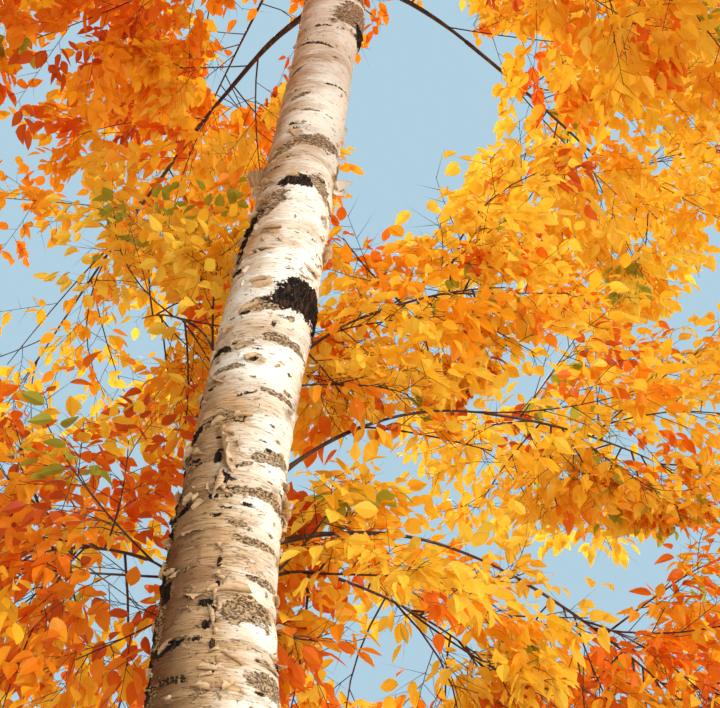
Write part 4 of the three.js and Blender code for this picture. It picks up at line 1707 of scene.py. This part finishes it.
@dataclass(frozen=True)
class LeafShape:
    """A leaf blade: where its edge's points lie along the rib, how far they stand out, and the rib's points.

    All are shares of the leaf's length. Each leaf has a fold, a droop and a breadth of its own.
    """

    places: tuple[float, ...]
    widths: tuple[float, ...]
    rib: tuple[float, ...]
    folds: Span = (0.1, 0.55)  # how far the halves rise beside the rib
    droops: Span = (-0.1, 0.45)
    breadths: Span = (0.85, 1.15)

    def faces(self) -> Array:
        """Joins the points of both halves of the blade, between the rib and each edge.

        Returns:
            The triangles, one a row.
        """
        ribs, edges = len(self.rib), len(self.places)
        faces = []
        for start, flip in ((ribs, 1), (ribs + edges, -1)):
            i, j = 0, 0
            while j < edges - 1 or i < ribs - 1:
                edge_next = self.places[j + 1] if j < edges - 1 else 2.0
                rib_next = self.rib[i + 1] if i < ribs - 1 else 2.0
                if j < edges - 1 and (edge_next <= rib_next or i == ribs - 1):
                    faces.append((i, start + j, start + j + 1)[::flip])
                    j += 1
                else:
                    faces.append((i, start + j, i + 1)[::flip])
                    i += 1
        return np.array(faces)

    def grow(
        self, roots: Array, ways: Array, faces_up: Array, lengths: Array, rng: np.random.Generator
    ) -> Array:
        """Grows leaves.

        Args:
            roots: Where each leaf starts.
            ways: The unit direction of each leaf's rib.
            faces_up: The unit direction that each leaf's upper side looks in.
            lengths: The leaves' lengths.
            rng: The source of their folds and bends.

        Returns:
            The vertices, as leaf, vertex, coordinate: the rib from root to tip, then each edge.
        """
        count = len(roots)
        rib, places, widths = np.array(self.rib), np.array(self.places), np.array(self.widths)
        along = np.concatenate([rib, places, places])
        side = np.concatenate([0 * rib, -widths, widths])
        fold, droop, width = (
            rng.uniform(*limits, count)[:, None] for limits in (self.folds, self.droops, self.breadths)
        )
        lift = fold * np.abs(side) - droop * along**2
        sides = np.cross(ways, faces_up)
        local = along[None, :, None] * ways[:, None] + (width * side)[..., None] * sides[:, None]
        local = local + lift[..., None] * faces_up[:, None]
        return roots[:, None] + lengths[:, None, None] * local


@dataclass
class Twigs:
    """Twigs of one order: where each starts, its way, length, radius and the spray that it belongs to."""

    starts: Array
    ways: Array
    lengths: Array
    radii: Array
    sprays: Array
    bows: Array  # how far the middle stands off the straight line, as shares of the length

    def places(self, which: Array, shares: Array, sag: float) -> Array:
        """One point along each of the chosen twigs.

        Args:
            which: The twigs' numbers.
            shares: The share of the length for each.
            sag: How far a twig's end hangs, as a share of its length.

        Returns:
            The points.
        """
        part = shares[..., None]
        bow = 4 * part * (1 - part) * self.bows[which]
        run = part * self.ways[which] + bow - sag * part**2 * UP
        return self.starts[which] + self.lengths[which][..., None] * run

    def spots(self, shares: Array, sag: float) -> Array:
        """Points along every twig, as twig, share, coordinate, at the same shares of each."""
        which = np.arange(len(self.lengths))[:, None]
        return self.places(which, np.broadcast_to(shares, (len(which), len(shares))), sag)

    def kept(self, which: Array) -> "Twigs":
        """Only the chosen twigs."""
        return Twigs(*[getattr(self, part.name)[which] for part in fields(self)])


@dataclass(frozen=True)
class Bearing:
    """The leafy twigs that a bough bears before its mass."""

    count: int
    span: Span  # the shares of the bough between which they grow
    reach: Span  # their shortest and longest length, as shares of the mass's radius


@dataclass(frozen=True)
class Growth:
    """How fully a mass grows: counts of twigs and leaves, and the leaf that they bear."""

    finer: int  # first twigs for each one of the solid's
    side_twigs: int  # on each first twig
    shoots: int  # on each side twig
    leaves: int  # on each shoot
    leaf_length: Span
    leaf: LeafShape
    stalk: float  # length of a leaf's stalk
    on_bough: Bearing
    beyond: float  # how far it may reach outside its ball


NEAR_LEAF = LeafShape((0.09, 0.27, 0.48, 0.7, 0.88), (0.14, 0.26, 0.28, 0.2, 0.09), (0, 0.45, 1))
FAR_LEAF = LeafShape((0.15, 0.42, 0.74), (0.2, 0.29, 0.18), (0, 1))
LOW_BEARING = Bearing(8, (0.28, 0.98), (0.42, 0.8))
CROWN_BEARING = Bearing(5, (0.5, 1.0), (0.6, 0.95))
TIP_BEARING = Bearing(10, (0.25, 1.0), (0.6, 0.95))
LOW_GROWTH = Growth(3, 10, 6, 4, (0.058, 0.08), NEAR_LEAF, 0.012, LOW_BEARING, 0.05)
CROWN_GROWTH = Growth(3, 10, 7, 5, (0.075, 0.1), FAR_LEAF, 0.0, CROWN_BEARING, 0.1)
TOP_GROWTH = Growth(3, 9, 7, 4, (0.085, 0.11), FAR_LEAF, 0.0, CROWN_BEARING, 0.1)

# The pieces of foliage: how many of the masses each one takes, in the plan's order, and how they grow.
PIECES = (
    ("low_right", 4, LOW_GROWTH),
    ("low_left", 2, LOW_GROWTH),
    ("tier1_back", 3, CROWN_GROWTH),
    ("tier1_front", 3, CROWN_GROWTH),
    ("tier2_back", 3, CROWN_GROWTH),
    ("tier2_front", 3, CROWN_GROWTH),
    ("tier3", 5, TOP_GROWTH),
    ("tier4", 4, TOP_GROWTH),
    ("tip", 3, TOP_GROWTH),
)


@dataclass
class Foliage:
    """The masses of foliage: leaders, twigs of three orders and leaves in sprays."""

    plan: CrownPlan
    twigs: int = 5
    twig_from: float = 0.14
    twig_to: float = 0.94
    twig_jitter: float = 0.5
    twig_seeds: int = 100
    twig_lean: Span = (52.0, 18.0)
    twig_reach: Span = (0.7, 0.2)
    twig_droop: float = 0.22
    tip_taper: Span = (1.15, 0.35)  # the top mass's twigs are shorter towards the tip
    bough_twig_lean: Span = (42.0, 78.0)
    bough_beyond: float = 0.6
    side_lean: Span = (38.0, 62.0)
    side_reach: float = 0.46
    shoot_reach: Span = (0.09, 0.19)
    sag: float = 0.08
    bow: float = 0.055
    cluster_size: float = 0.17  # metres across a cluster of leaves, or a gap between two
    cluster_share: float = 0.97
    cluster_contrast: float = 1.4
    leader_tip: float = 0.0025
    first_radius: float = 0.0045
    side_radius: float = 0.002
    shoot_radius: float = 0.0012
    finer_seeds: int = 1000
    bough_seeds: int = 900
    below_tip: Span = (1.2, 0.6)  # where the top mass's second growth starts and has its middle
    bough_twig_at: Span = (0.2, 0.8)  # where in its own share of the bough a twig grows
    branch_at: Span = (0.1, 0.9)
    branch_turn: float = 0.6
    branch_droop: float = 0.1
    branch_bow: float = 0.7  # as a share of bow
    side_span: Span = (0.12, 1.0)  # the shares of a twig between which side twigs grow
    side_taper: Span = (1.2, 0.5)  # their length at its root, and how much of that is lost towards its end
    side_uneven: Span = (0.7, 1.2)
    shoot_span: Span = (0.2, 1.0)
    checked: tuple[float, ...] = (0.35, 0.7, 1.0)  # shares of a twig at which it has to fit
    first_seen: tuple[float, ...] = (0.4, 0.8)  # and at which it may be left off, to keep the view open
    side_seen: tuple[float, ...] = (0.6,)
    leaf_from: float = 0.22  # share of a shoot without leaves
    leaf_plane: float = 0.5
    leaf_swing: Span = (0.5, 1.1)
    tip_swing: float = 0.3
    leaf_hang: Span = (0.05, 0.75)
    leaf_roll: float = 0.6
    cluster_least: float = 0.12
    palettes: dict[str, Palette] = field(
        default_factory=lambda: {
            "low_1": Palette.GOLDEN,
            "low_2": Palette.GOLDEN,
            "low_3": Palette.GOLDEN,
            "low_4": Palette.LATE,
            "low_5": Palette.TURNING,
            "low_6": Palette.LATE,
            "tier1_1": Palette.WARM,
            "tier1_6": Palette.GOLDEN,
        }
    )

    def palette(self, mass: Mass) -> Palette:
        """The tints of a mass: as listed, or fierier on the left of the tree than on its right."""
        return self.palettes.get(mass.label, Palette.FIERY if mass.middle[0] < 0 else Palette.WARM)

    def first_twigs(self, mass: Mass, finer: int) -> Twigs:
        """The twigs that branch from a mass's leader, by the solids' rule.

        Args:
            mass: The mass.
            finer: How many twigs stand here for one of the solid's. The middle one of them is that twig.

        Returns:
            The twigs, at their full length.
        """
        starts, ways, lengths = [], [], []
        for k in range(self.twigs * finer):
            if k % finer == finer // 2:
                draw = Draw(mass.seed * self.twig_seeds + k // finer)
            else:
                draw = Draw(mass.seed * self.finer_seeds + k)
            share = self.twig_from + (self.twig_to - self.twig_from) * (k + 0.5) / (self.twigs * finer)
            along = mass.leader.way(share)
            side = across(along)
            over = unit(np.cross(side, along))
            order = (k - finer // 2) / finer
            turn = order * GOLDEN_TURN + self.twig_jitter * draw() + mass.seed
            lean = math.radians(self.twig_lean[0] + self.twig_lean[1] * draw())
            out = math.cos(turn) * side + math.sin(turn) * over
            way = unit(math.cos(lean) * along + math.sin(lean) * out - self.twig_droop * UP)
            starts.append(mass.leader.at(share))
            ways.append(way)
            length = mass.radius * (self.twig_reach[0] + self.twig_reach[1] * draw())
            if mass.root is None:
                length *= self.tip_taper[0] + (self.tip_taper[1] - self.tip_taper[0]) * share
            lengths.append(length)
        count = len(starts)
        radii = np.full(count, self.first_radius)
        bows = self.bow * np.random.default_rng(mass.seed).normal(0, 1, (count, 3))
        return Twigs(np.array(starts), np.array(ways), np.array(lengths), radii, np.arange(count), bows)

    def bough_twigs(self, mass: Mass, bearing: Bearing) -> Twigs:
        """The leafy twigs that a bough bears between the stem and its mass, or the stem under the top mass.

        Args:
            mass: The mass that the bough carries.
            bearing: The twigs' count, places and lengths.

        Returns:
            The twigs, at their full length.
        """
        rng = np.random.default_rng(self.bough_seeds + mass.seed)
        limb, count = mass.bough, bearing.count
        if limb is None:
            low, middle, high = self.plan.stem.middle(self.plan.stem.top - np.array([*self.below_tip, 0.0]))
            limb = Path(low, middle, high)
        low, high = bearing.span
        number = np.arange(count)
        shares = low + (high - low) * (number + rng.uniform(*self.bough_twig_at, count)) / count
        ways = limb.way(shares)
        side = turned(across(ways), ways, number * GOLDEN_TURN + mass.seed)
        lean = np.radians(rng.uniform(*self.bough_twig_lean, count))[:, None]
        heading = unit(np.cos(lean) * ways + np.sin(lean) * side - self.twig_droop * UP)
        lengths = mass.radius * rng.uniform(*bearing.reach, count)
        radii = np.full(count, self.first_radius)
        bows = self.bow * rng.normal(0, 1, (count, 3))
        return Twigs(limb.at(shares), heading, lengths, radii, number, bows)

    def fitted(self, twigs: Twigs, own: int, beyond: float) -> Twigs:
        """Shortens twigs until they stay in their mass's space and clear of limbs, and skips the rest.

        Args:
            twigs: The twigs at their full length.
            own: The mass's number.
            beyond: How far they may reach outside the mass's ball.

        Returns:
            The twigs that fit.
        """
        lengths = np.zeros(len(twigs.lengths))
        shares = np.array(self.checked)
        for part in self.plan.tries:
            open_ = lengths == 0
            if not open_.any():
                break
            trial = twigs.kept(open_)
            trial.lengths = trial.lengths * part
            points = trial.spots(shares, self.sag)
            fits = self.plan.holds(points, own, beyond).all(axis=1)
            touching = self.plan.near_limb(points.reshape(-1, 3), own, False).reshape(points.shape[:2])
            fits &= ~touching.any(axis=1)
            found = np.nonzero(open_)[0][fits]
            lengths[found] = twigs.lengths[found] * part
        twigs.lengths = lengths
        return twigs.kept(lengths > 0)

    def branch(
        self,
        parents: Twigs,
        count: int,
        reach: Callable[[Array, Array], Array],
        radius: float,
        span: Span,
        rng: np.random.Generator,
    ) -> Twigs:
        """Grows the next order of twigs, on alternate sides of their parents.

        Args:
            parents: The twigs that they grow on.
            count: How many grow on each.
            reach: Gives their lengths from their parents' lengths and their places along them.
            radius: Their radius at the root.
            span: The shares of the parent's length between which they grow.
            rng: The source of their places and turns.

        Returns:
            The new twigs, and each belongs to its parent's spray.
        """
        owner = np.repeat(np.arange(len(parents.lengths)), count)
        number = np.tile(np.arange(count), len(parents.lengths))
        low, high = span
        share = low + (high - low) * (number + rng.uniform(*self.branch_at, len(owner))) / count
        ways = parents.ways[owner]
        starts = parents.places(owner, share, self.sag)
        side = across(ways)
        flat = turned(side, ways, rng.normal(0, self.branch_turn, len(owner)))
        flat = flat * np.where(number % 2 == 0, 1, -1)[:, None]
        lean = np.radians(rng.uniform(*self.side_lean, len(owner)))[:, None]
        heading = unit(np.cos(lean) * ways + np.sin(lean) * flat - self.branch_droop * UP)
        lengths = reach(parents.lengths[owner], share)
        bows = self.branch_bow * self.bow * rng.normal(0, 1, (len(owner), 3))
        return Twigs(starts, heading, lengths, np.full(len(owner), radius), parents.sprays[owner], bows)

    def leaves_on(
        self, shoots: Twigs, growth: Growth, rng: np.random.Generator
    ) -> tuple[Array, Array, Array, Array]:
        """Places the leaves along shoots, alternate, with one at each tip.

        Args:
            shoots: The shoots that bear them.
            growth: How many there are and how long.
            rng: The source of their turns.

        Returns:
            Each leaf's root, way, upper side and spray.
        """
        count = growth.leaves
        owner = np.repeat(np.arange(len(shoots.lengths)), count)
        number = np.tile(np.arange(count), len(shoots.lengths))
        share = self.leaf_from + (1 - self.leaf_from) * number / (count - 1)
        ways = shoots.ways[owner]
        roots = shoots.places(owner, share, self.sag)
        side = turned(across(ways), ways, rng.normal(0, self.leaf_plane, len(owner)))
        swing = np.where(number % 2 == 0, 1, -1) * rng.uniform(*self.leaf_swing, len(owner))
        swing = np.where(number == count - 1, rng.normal(0, self.tip_swing, len(owner)), swing)[:, None]
        heading = np.cos(swing) * ways + np.sin(swing) * side
        heading = unit(heading - rng.uniform(*self.leaf_hang, len(owner))[:, None] * UP)
        upper = unit(np.cross(across(heading), heading))
        upper = turned(upper, heading, rng.normal(0, self.leaf_roll, len(owner)))
        return roots, heading, upper, shoots.sprays[owner]

    def grow(self, mass: Mass, own: int, growth: Growth, wood: Heap, blades: Heap) -> None:
        """Grows one mass and the twigs of its bough.

        Args:
            mass: The mass.
            own: Its number.
            growth: How fully it grows.
            wood: Takes its twigs.
            blades: Takes its leaves.
        """
        shares = np.linspace(0, 1, 9)
        thickness = mass.limb_radius * (1 - shares) ** 0.8 + self.leader_tip
        wood.add(*tubes(mass.leader.at(shares)[None], thickness[None], 5))
        first = self.first_twigs(mass, growth.finer)
        self.clothe(mass, own, first, growth.beyond, growth, wood, blades)
        bearing = TIP_BEARING if mass.bough is None else growth.on_bough
        self.clothe(mass, own, self.bough_twigs(mass, bearing), self.bough_beyond, growth, wood, blades)

    def clothe(
        self, mass: Mass, own: int, first: Twigs, beyond: float, growth: Growth, wood: Heap, blades: Heap
    ) -> None:
        """Grows side twigs, shoots and leaves on first twigs.

        Args:
            mass: The mass that they belong to.
            own: Its number.
            first: The first twigs, at their full length.
            beyond: How far they may reach outside the mass's ball.
            growth: How fully they grow.
            wood: Takes the twigs.
            blades: Takes the leaves.
        """
        rng = np.random.default_rng(mass.seed + 100 * len(first.lengths))
        sprays_in_all = growth.side_twigs * len(first.lengths)
        first = self.fitted(first, own, beyond)
        for share in self.first_seen:
            spots = first.spots(np.array([share]), self.sag)[:, 0]
            first = first.kept(~self.plan.left_open(spots, False, rng))

        def side_length(length: Array, share: Array) -> Array:
            """Side twigs are longest near their parent's root."""
            whole, lost = self.side_taper
            uneven = rng.uniform(*self.side_uneven, len(share))
            return self.side_reach * length * (whole - lost * share) * uneven

        side = self.branch(first, growth.side_twigs, side_length, self.side_radius, self.side_span, rng)
        side.sprays = np.arange(len(side.sprays))
        side = self.fitted(side, own, beyond)
        spots = side.spots(np.array(self.side_seen), self.sag)[:, 0]
        side = side.kept(~self.plan.left_open(spots, False, rng))

        def shoot_length(_: Array, share: Array) -> Array:
            """Shoots are of all lengths."""
            return rng.uniform(*self.shoot_reach, len(share))

        shoots = self.branch(side, growth.shoots, shoot_length, self.shoot_radius, self.shoot_span, rng)
        shoots = self.fitted(shoots, own, beyond)
        for twigs, rows, sides, tip in ((first, 7, 4, 0.45), (side, 4, 3, 0.5)):
            steps = np.linspace(0, 1, rows)
            taper = twigs.radii[:, None] * (1 - (1 - tip) * steps)[None, :]
            wood.add(*tubes(twigs.spots(steps, self.sag), taper, sides))
        wood.add(*spikes(shoots.starts, shoots.spots(np.array([1.0]), self.sag)[:, 0], shoots.radii))

        roots, ways, upper, sprays = self.leaves_on(shoots, growth, rng)
        lengths = rng.uniform(*growth.leaf_length, len(roots))
        tips = roots + ways * (lengths + growth.stalk)[:, None]
        fits = self.plan.holds(tips, own, beyond) & ~self.plan.near_limb(tips, own, False)
        fits &= ~self.plan.near_limb(roots + 0.5 * (tips - roots), own, False)
        fits &= ~self.plan.left_open(0.5 * (roots + tips), True, rng)
        thick = lattice_noise(tips / self.cluster_size, mass.seed) * self.cluster_contrast
        fits &= rng.random(len(tips)) < np.maximum(self.cluster_share + thick, self.cluster_least)
        roots, ways, upper, sprays = roots[fits], ways[fits], upper[fits], sprays[fits]
        lengths = lengths[fits]
        tints = rng.choice(len(Tint), sprays_in_all, p=self.palette(mass).value)
        pattern = growth.leaf.faces()
        vertices = growth.leaf.grow(roots + growth.stalk * ways, ways, upper, lengths, rng)
        faces = pattern[None] + np.arange(len(roots))[:, None, None] * vertices.shape[1]
        blades.add(vertices, faces.reshape(-1, 3), np.repeat(tints[sprays], len(pattern)))

    def build(self) -> None:
        """Builds and dresses the foliage, in groups of masses."""
        leaf_looks = [LeafBlade(tint).make() for tint in Tint]
        twig_look = YoungBark("birch_twig_bark_smooth").make()
        first = 0
        for name, count, growth in PIECES:
            wood, blades = Heap(), Heap()
            members = self.plan.masses[first : first + count]
            for own, mass in enumerate(members, first):
                self.grow(mass, own, growth, wood, blades)
            first += count
            nodes = [f"foliage_{mass.label}" for mass in members]
            hand_over(wood.build(f"twigs_{name}", [twig_look], 1), "bough_bark", *nodes)
            hand_over(blades.build(f"leaves_{name}", leaf_looks, 0), "foliage", *nodes)


@dataclass(frozen=True)
class Sun:
    """A wide distant lamp."""

    name: str
    bearing: float  # where it stands, in degrees from +X towards +Y
    rise: float  # how high it stands, in degrees
    strength: float  # in watts a square metre
    softness: float  # how wide it looks, in degrees
    colour: str


@dataclass(frozen=True)
class Studio:
    """The camera at the photograph's viewpoint, a plain pale floor and soft light."""

    floor_radius: float = 60.0
    floor_sides: int = 96
    floor_colour: str = "#ADA8A0"
    backdrop: str = "#BFE0F2"
    backdrop_strength: float = 0.85
    fill_colour: str = "#F0F3F4"
    fill: Span = (0.2, 0.9)  # its strength on the left and on the right
    softbox_at: tuple[float, float, float] = (2.4, -5.2, 2.4)
    softbox_aim: tuple[float, float, float] = (0.25, 0.0, 4.9)
    softbox_size: float = 1.8
    softbox_power: float = 175.0
    softbox_colour: str = "#E9F1FF"
    suns: tuple[Sun, ...] = (
        Sun("key", -36.0, 15.0, 2.0, 9.0, "#FFF8F0"),
        Sun("back", 100.0, 60.0, 4.9, 30.0, "#FFF4DC"),
    )

    def place(self, name: str, data: bpy.types.ID) -> bpy.types.Object:
        """Puts an object in the scene.

        Args:
            name: Its name.
            data: Its mesh, camera or lamp.

        Returns:
            The object.
        """
        made = bpy.data.objects.new(name, data)
        bpy.context.scene.collection.objects.link(made)
        return made

    def camera(self) -> None:
        """Sets the camera where the photograph was taken from."""
        data = bpy.data.cameras.new("camera")
        data.lens, data.sensor_width, data.sensor_fit = EYE_LENS_MM, SENSOR_MM, "HORIZONTAL"
        camera = self.place("camera", data)
        camera.location = EYE
        camera.rotation_euler = (math.radians(90 + EYE_PITCH), 0, 0)
        bpy.context.scene.camera = camera

    def floor(self) -> None:
        """Lays the floor, a wide disc."""
        angle = np.arange(self.floor_sides) / self.floor_sides * math.tau
        rim = self.floor_radius * np.stack([np.cos(angle), np.sin(angle), 0 * angle], axis=1)
        mesh = bpy.data.meshes.new("floor")
        mesh.from_pydata(rim.tolist(), [], [list(range(len(rim)))])
        made, tree = new_material("floor_painted_matt")
        paint = {"Base Color": linear(self.floor_colour), "Roughness": 0.8}
        add_node(tree, "OutputMaterial", {"Surface": add_node(tree, "BsdfPrincipled", paint)})
        mesh.materials.append(made)
        self.place("floor", mesh)

    def lamps(self) -> None:
        """Hangs the lamps: a key from the right, one from behind and a softbox below the crown."""
        for sun in self.suns:
            data = bpy.data.lights.new(sun.name, "SUN")
            data.energy, data.angle = sun.strength, math.radians(sun.softness)
            data.color = linear(sun.colour)[:3]
            tilt = Matrix.Rotation(math.radians(90 - sun.rise), 4, "Y")
            turn = Matrix.Rotation(math.radians(sun.bearing), 4, "Z")
            self.place(sun.name, data).matrix_world = turn @ tilt
        box = bpy.data.lights.new("softbox", "AREA")
        box.shape, box.size, box.energy = "DISK", self.softbox_size, self.softbox_power
        box.color = linear(self.softbox_colour)[:3]
        lamp = self.place("softbox", box)
        spot, aim = Vector(self.softbox_at), Vector(self.softbox_aim)
        lamp.location = spot
        lamp.rotation_euler = (aim - spot).to_track_quat("-Z", "Y").to_euler()
        lamp.visible_camera = False

    def surroundings(self) -> None:
        """Makes the soft fill, brighter on the right, and the backdrop, which is seen but gives no light."""
        world = bpy.data.worlds.new("studio")
        world.use_nodes = True
        tree = world.node_tree
        tree.nodes.clear()
        way = add_node(tree, "TexCoord").outputs["Generated"]
        rightward = add_node(tree, "SeparateXYZ", {"Vector": way}).outputs["X"]
        low, high = self.fill
        limits = {"Value": rightward, "From Min": -1.0, "To Min": low, "To Max": high}
        strength = add_node(tree, "MapRange", limits)
        fill = add_node(tree, "Background", {"Color": linear(self.fill_colour), "Strength": strength})
        shown = {"Color": linear(self.backdrop), "Strength": self.backdrop_strength}
        seen = add_node(tree, "LightPath").outputs["Is Camera Ray"]
        both = add_node(tree, "MixShader", {0: seen, 1: fill, 2: add_node(tree, "Background", shown)})
        add_node(tree, "OutputWorld", {"Surface": both})
        bpy.context.scene.world = world
        bpy.context.scene.view_settings.view_transform = "Standard"

    def build(self) -> None:
        """Sets up the studio."""
        self.camera()
        self.floor()
        self.lamps()
        self.surroundings()


def main() -> None:
    """Builds the tree and its studio."""
    logging.basicConfig(level=logging.INFO, format="%(message)s")
    Studio().build()
    stem = Stem()
    plan = CrownPlan(stem)
    Trunk(stem).build(plan.scars())
    Boughs(plan).build()
    Foliage(plan).build()


if __name__ == "__main__":
    main()
